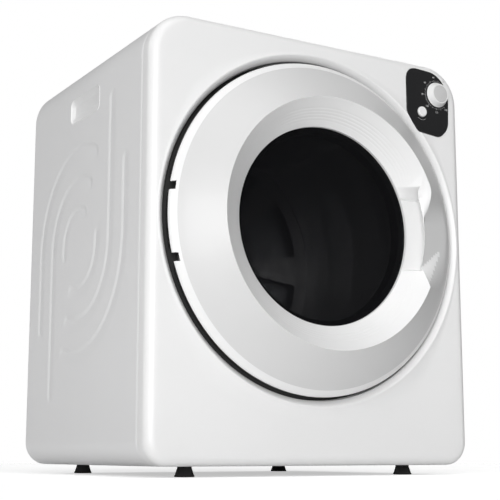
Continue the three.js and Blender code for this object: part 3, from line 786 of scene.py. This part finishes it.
def screw_places():
    """Screws round the edge of the back panel."""
    side = WIDTH / 2 - 14
    places = [(s * side, z) for s in (-1, 1) for z in (80, 240, 400, 560)]
    return places + [(x, z) for z in (BASE + 14, HEIGHT - 14) for x in (-160, 160)]


def screw(name, x, y, z):
    """A pan-head screw with a cross recess, on a face that looks along +Y."""
    profile = [(0, 0), (4.2, 0), (4.2, 0.5), (3.9, 1.3), (3, 1.9), (1.6, 2.2), (0, 2.3)]
    head = turned(name, [(r, y + t) for r, t in profile], MATERIALS["bright_steel"], x, z, 28)
    arms = [
        box("arm", x - 2.2, x + 2.2, y + 1, y + 4, z - 0.45, z + 0.45, MATERIALS["bright_steel"]),
        box("arm", x - 0.45, x + 0.45, y + 1, y + 4, z - 2.2, z + 2.2, MATERIALS["bright_steel"]),
    ]
    return cut(head, *arms)


def make_exhaust_collar():
    """The ribbed spigot for the vent hose, with its flange on the back panel."""
    r, length = EXHAUST["r"], EXHAUST["length"]
    root = BACK - 3
    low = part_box("exhaust_collar")[0].y / MM
    profile = [(r - 3, low), (r, low), (r, BACK - 5.7), (r + 9.4, BACK - 5.7), (r + 10, BACK - 5.2)]
    profile += [(r + 10, BACK - 3.8), (r + 9.2, root), (r + 0.8, root), (r - 0.3, root + 1.2)]
    for k in range(3):
        y = BACK + 20 + 10 * k
        profile += [(r - 0.6, y - 2), (r, y), (r, y + 0.8), (r - 0.6, y + 2.8)]
    profile += [(r - 0.6, BACK + length - 3), (r - 1.2, BACK + length), (r - 2.6, BACK + length)]
    profile += [(r - 3, BACK + length - 1)]
    spot = EXHAUST["x"], EXHAUST["z"]
    turned_piece("exhaust_spigot", profile, "cabinet", "grey_plastic", "exhaust_collar", *spot, 128)


def make_gland():
    """The mains inlet's gland: a flanged tube with grip rings and no cord in it."""
    y = BACK_SHEET
    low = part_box("cord_gland")[0].y / MM
    profile = [(5, low), (9, low), (9, y + 2.3), (13.4, y + 2.3), (14, y + 2.9), (14, y + 6.2)]
    profile += [(13.2, y + 7), (11, y + 7)]
    for k in range(4):
        ring = y + 8.4 + 3 * k
        radius = 10.6 - 0.55 * k
        profile += [(radius, ring), (radius, ring + 1.2)]
        profile += [(radius - 0.9, ring + 1.5), (radius - 1, ring + 2.6)]
    profile += [(7.6, y + 20), (5.4, y + 20), (5, y + 19.6)]
    turned_piece("cord_gland_tube", profile, "cabinet", "black_plastic", "cord_gland", *GLAND, 64)


# ---- controls ----
def make_control_plate():
    """The gloss plate with a soft edge, its dial print and the mark under the button."""
    bm = bmesh.new()
    rows = []
    for grow, rise in ((0, -0.9), (0, 0.3), (-0.15, 0.55), (-0.5, 0.75), (-1.2, 0.8)):
        rows.append([bm.verts.new((x, FRONT - rise, z)) for x, z in plate_outline(grow)])
    closed_tube(bm, rows)
    plate = new_object("control_plate_gloss", bm, MATERIALS["black_gloss"], 0.7)
    cut(
        plate,
        drill("shaft_hole", KNOB["x"], KNOB["z"], 5.2, FRONT - 5, FRONT + 5),
        drill("button_hole", BUTTON["x"], BUTTON["z"], BUTTON["r"] + 0.5, FRONT - 5, FRONT + 5),
    )
    place(plate, "cabinet", "black_gloss", "control_plate")
    for mark in (dial_ticks(), dial_numbers(), button_mark()):
        place(mark, "cabinet", "grey_plastic")


PRINT_Y = FRONT - 0.8


def print_patch(bm, centre, angle, length, width):
    """A printed bar on the plate, whose length runs along the angle."""
    along = Vector((math.cos(angle), math.sin(angle)))
    across = Vector((-along.y, along.x))
    corners = []
    for a, b in ((-1, -1), (1, -1), (1, 1), (-1, 1)):
        corners.append(Vector(centre) + along * (a * length / 2) + across * (b * width / 2))
    low = [bm.verts.new((p.x, PRINT_Y + 0.02, p.y)) for p in corners]
    high = [bm.verts.new((p.x, PRINT_Y - 0.06, p.y)) for p in corners]
    closed_tube(bm, [low, high])


DIAL_STEPS = 13
DIAL_START = math.radians(60)
DIAL_SWEEP = math.radians(250)


def dial_angle(k, steps=DIAL_STEPS):
    return DIAL_START + DIAL_SWEEP * k / (steps - 1)


def dial_ticks():
    """Tick marks round the knob, long ones at the numbers."""
    bm = bmesh.new()
    fine = 4 * (DIAL_STEPS - 1) + 1
    for k in range(fine):
        angle = dial_angle(k, fine)
        long = k % 4 == 0
        radius = 25.6 if long else 25
        centre = polar(radius, angle, KNOB["x"], KNOB["z"])
        print_patch(bm, centre, angle, 3 if long else 1.6, 0.5 if long else 0.3)
    return new_object("dial_ticks", bm, PRINT)


def dial_numbers():
    """The dial's minutes, every second long tick."""
    made = []
    for k in range(0, DIAL_STEPS, 2):
        angle = dial_angle(k)
        data = bpy.data.curves.new("number", "FONT")
        data.body = str(20 * (k // 2 + 1))
        data.size = 4.6 * MM
        data.align_x = "CENTER"
        data.align_y = "CENTER"
        data.extrude = 0.04 * MM
        obj = link("number", data)
        x, z = polar(31.5, angle, KNOB["x"], KNOB["z"])
        spot = Matrix.Translation(Vector((x, PRINT_Y - 0.02, z)) * MM)
        obj.matrix_world = spot @ Matrix.Rotation(QUARTER, 4, "X")
        bpy.context.view_layer.update()
        mesh = bpy.data.meshes.new_from_object(obj.evaluated_get(bpy.context.evaluated_depsgraph_get()))
        mesh.transform(obj.matrix_world)
        made.append(link("number", mesh))
        bpy.data.objects.remove(obj)
    numbers = join("dial_numbers", made)
    numbers.data.materials.clear()
    numbers.data.materials.append(PRINT)
    return numbers


def button_mark():
    """A plain arc printed under the start button."""
    bm = bmesh.new()
    for k in range(15):
        angle = math.radians(235 + 70 * k / 14)
        centre = polar(14, angle, BUTTON["x"], BUTTON["z"])
        print_patch(bm, centre, angle + QUARTER, 1.4, 0.5)
    return new_object("button_mark", bm, PRINT)


def make_knob():
    """The tapered timer knob with shallow grip flutes, and the grey disc set in its face."""
    face = FRONT - 1.3
    tip = face - KNOB["height"]
    base, top = KNOB["base"], KNOB["face"]
    profile = [
        (0, face), (base - 0.8, face), (base, face - 0.5), (base, face - 1.3), (base - 0.5, face - 2),
        (base - 1.6, face - 4), (base - 3, face - 7), (top + 1.4, tip + 2), (top + 0.9, tip + 0.9),
        (top + 0.3, tip + 0.45), (top - 0.5, tip + 0.4), (top - 1.4, tip + 0.5), (top - 1.5, tip + 1.6),
        (0, tip + 1.6),
    ]

    def flutes(radius, y, angle):
        depth = (face - y) / KNOB["height"]
        if radius < top or depth < 0.15 or depth > 0.93:
            return radius, y
        return radius - 0.12 * (1 + math.cos(30 * angle)), y

    spot = KNOB["x"], KNOB["z"]
    turned_piece("timer_knob_body", profile, "timer", "white_plastic", "timer_knob", *spot, 240, flutes)
    r = top - 1.8
    disc = [(0, 1.3), (r, 1.3), (r, 0.5), (r - 0.3, 0.15), (r - 1, 0.02), (0, 0)]
    disc = [(radius, tip + t) for radius, t in disc]
    cap = turned("timer_knob_disc", disc, MATERIALS["grey_plastic"], *spot, 96)
    line = box(
        "line", KNOB["x"] - 0.5, KNOB["x"] + 0.5, tip - 1, tip + 0.25, KNOB["z"] + 6, KNOB["z"] + r - 1.2,
        MATERIALS["grey_plastic"],
    )
    place(cut(cap, line), "timer", "grey_plastic", "timer_knob_cap")


def make_button():
    """The start button: a rounded cap with a dished top, on its stem."""
    r = BUTTON["r"]
    top = FRONT - 4
    profile = [
        (0, top + 0.5), (3.5, top + 0.4), (5.6, top + 0.1), (r - 1.8, top), (r - 0.9, top + 0.25),
        (r - 0.25, top + 0.9), (r, top + 1.8), (r, FRONT + 6), (4, FRONT + 6), (4, FRONT + 19.8),
        (0, FRONT + 19.8),
    ]
    spot = BUTTON["x"], BUTTON["z"]
    turned_piece("start_button_cap", profile, "button", "white_plastic", "start_button", *spot, 64)


# ---- door ----
CREASE = (201, 55.9)
POCKET_TOP = {"edge": (103, 77), "floor": (78, 61), "leaf": (18, 78)}
POCKET_LOW = {"edge": (-90, -62), "floor": (-62, -58)}
RAMP_REACH = 34
LOW_FADE = {"at_crease": 28, "per_mm_out": 1.4}
# Which faces of the door ring get the painted shade: inside this radius, turned this far outward and
# forward.
SLOPE_SHADE = {"radius": 259, "outward": 0.2, "forward": 0.5}


def share(height, group):
    """How far the ring's section has changed to the finger pocket's at a height above the middle."""
    top, low = POCKET_TOP[group], POCKET_LOW[group]
    down = min(1, max(0, (top[0] - height) / (top[0] - top[1])))
    up = min(1, max(0, (height - low[0]) / (low[1] - low[0])))
    return min(down, up)


def leaf_share(height):
    """How much of the light scoop beside the pocket's top is left at a height."""
    low, high = POCKET_TOP["leaf"]
    return ease(height - (low + high) / 2, high - low)


def cone_at(radius):
    """The stand of the plain inner cone at a radius."""
    return 21 + (radius - GLASS_R) * (CREASE[1] - 21) / (CREASE[0] - GLASS_R)


def mix(a, b, part):
    return tuple(p + (q - p) * part for p, q in zip(a, b))


SCOOP = ((201, 55.4), (197.5, 53.2), (193.5, 49.8), (189, 46.2), (185.6, 44.4))
FLOW = ((184.5, 39.6), (183, 41.1), (181.8, 42.4), (181, 43.1), (180.6, 42.7))
FLOW_START = (246, 22.6)
HOLLOW = (
    (181, 41.5), (183, 38.8), (187, 35.8), (192, 33.4), (197, 31.3), (200, 29), (200.6, 26),
    (199.6, 23), (197.5, 21.4), (194, 20.9),
)
GROOVES = {"first": 165, "last": 190, "count": 6, "depth": 0.5}


def outer_stations():
    """The ring's front from its rim to its crease: [plain point, scoop point, flow point]."""
    rim = smooth_profile([(270, -1), (269.4, 2, 4), (262.5, 8.2, 9), (246, 22.6, 20), CREASE], 6)[:-1]
    slope = [mix(rim[-1], CREASE, k / 8) for k in range(1, 8)]
    stations = []
    (start_r, start_t), (end_r, end_t) = FLOW_START, FLOW[0]
    for radius, t in rim + slope:
        along = max(0, start_r - radius) / (start_r - CREASE[0])
        flow = (start_r + (end_r - start_r) * along, start_t + (end_t - start_t) * along)
        stations.append(((radius, t), (radius, t - 0.5 * along), flow if along else (radius, t)))
    return stations


def lip_stations():
    """The crease, opened up to the pocket's lip: [plain point, scoop point, flow point]."""
    r, t = CREASE
    plain = ((r + 0.4, t - 0.25), (r + 0.15, t - 0.05), (r, t), (r - 0.15, t - 0.05), (r - 0.4, t - 0.3))
    return list(zip(plain, SCOOP, FLOW))


def inner_stations():
    """The inner cone from crease to glass: [share of the way, pocket point]."""
    stations = [(1 - 0.008 * (k + 1), point) for k, point in enumerate(HOLLOW)]
    start, count = stations[-1][0], 60
    for k in range(1, count + 1):
        u = k / count
        stations.append((start * (1 - u), (194 + (GLASS_R - 194) * u, 20.8)))
    return stations


def groove(radius):
    """The ripple of the fine grooves in the inner cone."""
    first, last = GROOVES["first"], GROOVES["last"]
    u = (radius - first) / (last - first)
    if not 0 < u < 1:
        return 0
    fade = min(1, 5 * min(u, 1 - u))
    return GROOVES["depth"] * fade * (abs(math.sin(math.pi * GROOVES["count"] * u)) ** 0.5 - 1)


def lip_point(radius, angle):
    """The pocket's lip at an angle, and how far the crease has become it."""
    height = radius * math.sin(angle)
    part = share(height, "edge") if math.cos(angle) > 0 else 0
    goal = mix(FLOW[-1], SCOOP[-1], leaf_share(height))
    return mix(CREASE, goal, part), part


def edge_point(station, angle):
    """A point of the ring's front. Far from the lip, the pocket's low end fades over a longer way."""
    plain, scoop, flow = station
    height = plain[0] * math.sin(angle)
    part = share(height, "edge") if math.cos(angle) > 0 else 0
    fade = LOW_FADE["at_crease"] + LOW_FADE["per_mm_out"] * max(0, plain[0] - CREASE[0])
    part = min(part, max(0, height - POCKET_LOW["edge"][0]) / fade)
    return mix(plain, mix(flow, scoop, leaf_share(height)), part)


def inner_point(station, angle):
    """A point of the inner cone, its ramp at the pocket's top, or the pocket's hollow and floor."""
    along, pocket = station
    plain_r = GLASS_R + (CREASE[0] - GLASS_R) * along
    height = plain_r * math.sin(angle)
    lip, part = lip_point(plain_r, angle)
    radius = GLASS_R + (lip[0] - GLASS_R) * along
    ramp_start = (CREASE[0] - RAMP_REACH * part if height > 0 else GLASS_R) - 0.01
    lift = (lip[1] - cone_at(lip[0])) * min(1, max(0, (radius - ramp_start) / (lip[0] - ramp_start)))
    t = cone_at(radius) + lift + groove(plain_r) * (1 - part)
    if math.cos(angle) <= 0:
        return radius, t
    deep = 0
    for _ in range(6):
        height = (radius + (pocket[0] - radius) * deep) * math.sin(angle)
        deep = (deep + share(height, "floor")) / 2
    seam = 2.4 * max(0, 1 - abs(height - POCKET_TOP["floor"][1] + 1.5) / 1.8)
    return mix((radius, t), (pocket[0], pocket[1] - seam), deep)


def ring_angles():
    """Angles round the ring, close together at the finger pocket."""
    near = math.radians(36)
    fine, coarse = 260, 250
    angles = [-near + 2 * near * k / fine for k in range(fine)]
    return angles + [near + (TURN - 2 * near) * k / coarse for k in range(coarse)]


def make_door_ring():
    """The door's white ring: a rounded rim, a crisp crease, a grooved inner cone and a finger pocket."""
    bm = bmesh.new()
    angles = ring_angles()

    def row(points):
        spots = [(polar(r, a, 0, DOOR_Z), t) for (r, t), a in zip(points, angles)]
        return [bm.verts.new((x, stand(t), z)) for (x, z), t in spots]

    rows = [row([edge_point(s, a) for a in angles]) for s in outer_stations() + lip_stations()]
    rows += [row([inner_point(s, a) for a in angles]) for s in inner_stations()]
    back = [(160, 16.2), (168, 16), (168, 4), (171, 4), (171.5, 12), (205, 15), (232, 10), (264, -1)]
    rows += [row([point] * len(angles)) for point in back]
    ring_of_faces(bm, rows + [rows[0]])
    plastic = MATERIALS["white_plastic"]
    ring = new_object("door_ring_moulding", bm, plastic, 0.5)
    notches = []
    for offset in HINGE_OFFSETS:
        z = DOOR_Z + offset
        notches.append(box("notch", -280, HINGE_X + 8, stand(7.2), stand(-6), z - 6.5, z + 6.5, plastic))
    cut(ring, *notches)
    soften(ring, 0.5)
    paint_slope_shade(ring)
    place(ring, "door", "white_plastic", "door_ring")


def paint_slope_shade(ring):
    """Gives the ring's outer slope, up to its crease, a darker copy of the white moulding: painted shade on
    the faces that turn outward and forward.
    """
    ring.data.materials.append(SLOPE_SHADE_WHITE)
    for face in ring.data.polygons:
        out = Vector((face.center.x, face.center.z - DOOR_Z * MM))
        radius, normal = out.length / MM, face.normal
        outward = (normal.x * out.x + normal.z * out.y) / out.length
        if radius < SLOPE_SHADE["radius"] and outward > SLOPE_SHADE["outward"] and -normal.y > SLOPE_SHADE["forward"]:
            face.material_index = 1


def make_window():
    """The smoked window with a ground edge, and the black clamp ring behind it."""
    profile = [(0, 12), (167, 12), (167.7, 12.6), (167.7, 14.8), (167, 15.6), (0, 15.7)]
    turned_piece("door_window", standing(profile), "door", "smoked_glass", "door_glass")
    profile = [(151, 5), (152, 4), (167, 4), (167.7, 5), (167.7, 11.7), (153, 11.7), (151.3, 11), (151, 9.6)]
    turned_piece("window_clamp", standing(profile), "door", "black_plastic", "glass_clamp")


def make_door_inside():
    """The door's back: a black frame with a rolled edge and screws, its rubber seal and the glass bowl."""
    black = MATERIALS["black_plastic"]
    profile = [
        (152, 3.6), (174, 3.6), (174, -7), (255, -7), (260, -3), (263, -1.6), (268.4, -1.6), (269, -2.2),
        (269, -8.8), (268.4, -10.4), (266.8, -11), (232, -11), (229, -10), (210, -10), (206, -11),
        (154, -11), (152, -9.6),
    ]
    inner = turned("door_back_frame", standing(profile), black, 0, DOOR_Z, 160)
    slots = [
        box("slot", -280, HINGE_X + 24, stand(20), stand(-20), DOOR_Z + o - 16, DOOR_Z + o + 16, black)
        for o in HINGE_OFFSETS
    ]
    place(cut(inner, *slots), "door", "black_plastic", "door_inner_frame")
    profile = [
        (186, -11.3), (199, -11.3), (199, -12.6), (197.4, -13), (199, -15), (198.6, -18.4), (195.4, -21.8),
        (192.4, -22.8), (189.6, -21.8), (187.2, -19), (186.6, -15),
    ]
    turned_piece("door_seal_lip", standing(profile), "door", "grey_rubber", "door_seal")
    outside = smooth_profile([(168, -13.3), (162, -13.5, 4), (122, -33, 22), (0, -35)], 8)
    inside = smooth_profile([(0, -33), (121, -31, 22), (160.5, -11.3, 4), (168, -11.3)], 8)
    bowl = turned("door_bowl_glass", standing(inside + outside), BOWL_GLASS, 0, DOOR_Z, 160)
    place(bowl, "door", "smoked_glass", "door_bowl")
    for i in range(10):
        x, z = polar(246, TURN * (i + 0.5) / 10, 0, DOOR_Z)
        place(screw("door_screw_" + str(i + 1), x, stand(-11), z), "door", "bright_steel")


# ---- drum ----
def make_drum():
    """The drum: a rolled neck, a wall with stamped rings, and a rear wall with punched air holes."""
    profile = [(194, -220), (195.4, -220.4), (196, -219.4), (196, -207), (198, -205), (249, -191.5)]
    profile += [(250, -189), (250, DRUM_BACK + 2), (247.6, DRUM_BACK + 2), (247.8, DRUM_BACK - 4)]
    for middle in (90, 0, -90):
        profile += [(248, middle + 12), (246.9, middle + 7), (246.9, middle - 7), (248, middle - 12)]
    profile += [(248, -188), (247, -189.4), (198, -203), (194.4, -205), (194, -207)]
    wall = turned("drum_wall", profile, MATERIALS["drum_steel"], 0, DOOR_Z, 160)
    place(join("drum_shell", [wall, make_rear_wall()]), "drum", "drum_steel", "drum")


def make_rear_wall():
    """The drum's rear wall as a polar grid, with round holes in its vented sectors."""
    around = 96
    radii = [98, 104, 112] + [112 + 12 * k for k in range(1, 10)] + [228, 236, 247.6]
    bm = bmesh.new()
    rows = []
    for radius in radii:
        dish = 1.5 * ease(radius - 116, 10) * (1 - ease(radius - 226, 10))
        rows.append(circle_row(bm, radius, DRUM_BACK + 1 - dish, around))
    ring_of_faces(bm, rows)
    bm.faces.ensure_lookup_table()
    vents = []
    for k, face in enumerate(bm.faces):
        ring, cell = divmod(k, around)
        if 3 <= ring <= 10 and cell % 12 in range(2, 10):
            vents.append(face)
    bmesh.ops.inset_individual(bm, faces=vents, thickness=1.7, use_even_offset=True)
    bmesh.ops.delete(bm, geom=vents, context="FACES")
    collar = [circle_row(bm, r, y, around) for r, y in ((97, 162), (96.5, 168), (97, 174))]
    ring_of_faces(bm, [rows[0]] + collar)
    rear = new_object("drum_rear", bm, MATERIALS["drum_steel"])
    fine = rear.modifiers.new("fine", "SUBSURF")
    fine.levels = 1
    thick = rear.modifiers.new("thick", "SOLIDIFY")
    thick.thickness = 1.4 * MM
    thick.offset = 0
    apply_modifiers(rear)
    soften(rear)
    return rear


LIFTER_HEIGHT = 48
LIFTER_ANGLE = -QUARTER + 0.5
LIFTER_SPAN = (-176, 152)


def make_lifters():
    """Three hollow lifters with a soft crest that rises and falls along the drum."""
    foot = DRUM_R - 3.5
    y0, y1 = LIFTER_SPAN
    along, across = 44, 20
    for i in range(3):
        middle = LIFTER_ANGLE + TURN * i / 3
        bm = bmesh.new()
        rows = []
        for k in range(along + 1):
            t = k / along
            y = y0 + (y1 - y0) * t
            ends = math.sqrt(max(0, 1 - (2 * t - 1) ** 10))
            crest = LIFTER_HEIGHT * (0.8 + 0.2 * math.cos(TURN * 1.5 * t)) * ends
            row = []
            for j in range(across + 1):
                u = 2 * j / across - 1
                bell = (1 - abs(u) ** 2.4) ** 1.6
                lean = 0.02 * math.sin(TURN * 1.5 * t) * bell
                angle = middle + 0.145 * u + lean
                radius = foot - crest * bell
                x, z = polar(radius, angle, 0, DOOR_Z)
                row.append(bm.verts.new((x, y, z)))
            rows.append(row)
        ring_of_faces(bm, rows, closed=False)
        ring_of_faces(bm, [[row[0] for row in rows], [row[-1] for row in rows]], closed=False)
        bm.faces.new(rows[0])
        bm.faces.new(rows[-1])
        node = "lifter_" + str(i + 1)
        bar = new_object(node + "_bar", bm, MATERIALS["grey_plastic"], 0.8)
        place(bar, "drum", "grey_plastic", node)


def make_filter():
    """The lint filter in the drum's hub: a domed cover with spokes and rings over its mesh."""
    black = MATERIALS["black_plastic"]
    dome = smooth_profile([(0, 122), (60, 124, 18), (84, 132, 8), (92, 137, 2), (92, 139.5)], 6)
    profile = dome + [(81, 139.5), (80, 168), (78, 168), (79, 139), (0, 139)]
    turned_piece("filter_cover", profile, "filter", "black_plastic", "lint_filter", segments=120)
    bm = bmesh.new()
    for radius, y in ((26, 122.4), (44, 123.2), (62, 125), (78, 130)):
        add_ring(bm, radius, y - 0.6, 1.1)
    rings = new_object("filter_rings", bm, black)
    spokes = [filter_spoke(TURN * k / 24, black) for k in range(24)]
    place(join("filter_ribs", [rings] + spokes), "filter", "black_plastic")


def filter_spoke(angle, material):
    """One rib that follows the filter's dome from near the middle to its rim."""
    bm = bmesh.new()
    rows = []
    for radius, y in ((26, 122.2), (44, 122.9), (60, 124.4), (74, 128.4), (84, 132.6), (89.5, 136)):
        row = []
        for side, rise in ((-1, 1.2), (-0.6, -0.9), (0.6, -0.9), (1, 1.2)):
            x = radius * math.cos(angle) - side * 0.9 * math.sin(angle)
            z = radius * math.sin(angle) + side * 0.9 * math.cos(angle)
            row.append(bm.verts.new((x, y + rise, DOOR_Z + z)))
        rows.append(row)
    closed_tube(bm, rows)
    return new_object("spoke", bm, material)


def add_ring(bm, radius, y, thick, around=96, sides=8):
    """A thin round ring about the door's axis."""
    rows = []
    for k in range(sides):
        a = TURN * k / sides
        rows.append(circle_row(bm, radius + thick * math.cos(a), y + thick * math.sin(a), around))
    ring_of_faces(bm, rows + [rows[0]])


def make_bulkhead_front():
    """The front bulkhead, a flanged ring round the drum's mouth."""
    y = RECESS_FLOOR + 3.3
    profile = [(186, y + 0.6), (186.6, y), (227.4, y), (228, y + 0.6), (228, y + 2), (190, y + 2)]
    profile += [(188, y + 4), (188, -205.4), (187.4, -205), (186.4, -205.2), (186, -206)]
    name, slot_name, node = "front_bulkhead_ring", "galvanised_steel", "front_bulkhead"
    turned_piece(name, profile, "cabinet", slot_name, node, segments=128)


# ---- stage ----
CAMERA_AT = (-1031.4, -1759.4, 36.9)
CAMERA_YAW = 0.538
CAMERA_PITCH = 0.172
CAMERA_LENS = 83.77
AIM = Vector((0, 0, 0.36))
FILL = 0.15
FLOOR_GLOW = 0.5
FLOOR_FADE = (0.9, 2.4)
# name: azimuth and elevation in degrees, distance and size in metres, power in watts
LIGHTS = {
    "key": (-37, 5, 7, 3.6, 375),
    "side": (-118, 34, 3.2, 0.8, 7),
    "top": (-15, 60, 4, 2.4, 38),
    "back": (130, 35, 3.4, 2.4, 26),
}


def make_camera():
    """The camera, low and to the left, tilted up a little."""
    data = bpy.data.cameras.new("camera")
    data.lens = CAMERA_LENS
    data.sensor_width = 36
    data.clip_end = 100
    camera = link("camera", data)
    camera.location = Vector(CAMERA_AT) * MM
    camera.rotation_euler = (QUARTER + CAMERA_PITCH, 0, -CAMERA_YAW)
    bpy.context.scene.camera = camera


def area_light(name, azimuth, elevation, distance, size, power):
    """A square soft light aimed at the machine's middle. Azimuth 0 is in front, negative to the left."""
    data = bpy.data.lights.new(name, "AREA")
    data.energy = power
    data.size = size
    light = link(name, data)
    a, e = math.radians(azimuth), math.radians(elevation)
    away = Vector((math.sin(a) * math.cos(e), -math.cos(a) * math.cos(e), math.sin(e)))
    light.location = AIM + away * distance
    light.rotation_euler = away.to_track_quat("Z", "Y").to_euler()


def make_studio():
    """A pale floor, an even white surround and soft lights."""
    world = bpy.data.worlds.new("studio")
    bpy.context.scene.world = world
    world.use_nodes = True
    tree = world.node_tree
    path = tree.nodes.new("ShaderNodeLightPath")
    by_ray = tree.nodes.new("ShaderNodeMixShader")
    tree.links.new(path.outputs["Is Camera Ray"], by_ray.inputs["Fac"])
    fill, seen = tree.nodes["Background"], tree.nodes.new("ShaderNodeBackground")
    for socket, (node, strength) in enumerate(((fill, FILL), (seen, 1.0)), 1):
        node.inputs["Color"].default_value = (1, 1, 1, 1)
        node.inputs["Strength"].default_value = strength
        tree.links.new(node.outputs["Background"], by_ray.inputs[socket])
    tree.links.new(by_ray.outputs["Shader"], tree.nodes["World Output"].inputs["Surface"])
    for name, settings in LIGHTS.items():
        area_light(name, *settings)
    make_floor()


def make_floor():
    """A pale floor that fades into the surround away from the machine."""
    made, tree, shader = principled("studio_floor", grey(0.9), 0.8, Emission_Color=(1, 1, 1, 1))
    path = tree.nodes.new("ShaderNodeLightPath")
    glow = spread(tree, path.outputs["Is Camera Ray"], 0, FLOOR_GLOW, 0, 1)
    tree.links.new(glow, shader.inputs["Emission Strength"])
    mottle = noise(tree, 2, 3)
    vary_colour(tree, shader, mottle, grey(0.89), grey(0.91))
    coords = tree.nodes.new("ShaderNodeTexCoord")
    far_out = tree.nodes.new("ShaderNodeVectorMath")
    far_out.operation = "LENGTH"
    tree.links.new(coords.outputs["Object"], far_out.inputs[0])
    tree.links.new(spread(tree, far_out.outputs["Value"], 1, 0, *FLOOR_FADE), shader.inputs["Alpha"])
    mesh = bpy.data.meshes.new("floor")
    far = 30
    mesh.from_pydata([(-far, -far, 0), (far, -far, 0), (far, far, 0), (-far, far, 0)], [], [(0, 1, 2, 3)])
    mesh.materials.append(made)
    link("floor", mesh)
    bpy.context.scene.view_settings.view_transform = "Standard"


make_camera()
make_studio()
paint_frame()
make_wrap()
make_grip(-1, "grip_left")
make_grip(1, "grip_right")
make_front_panel()
make_feet()
make_back_panel()
make_exhaust_collar()
make_gland()
make_control_plate()
make_knob()
make_button()
make_door_ring()
make_window()
make_door_inside()
make_drum()
make_lifters()
make_filter()
make_bulkhead_front()
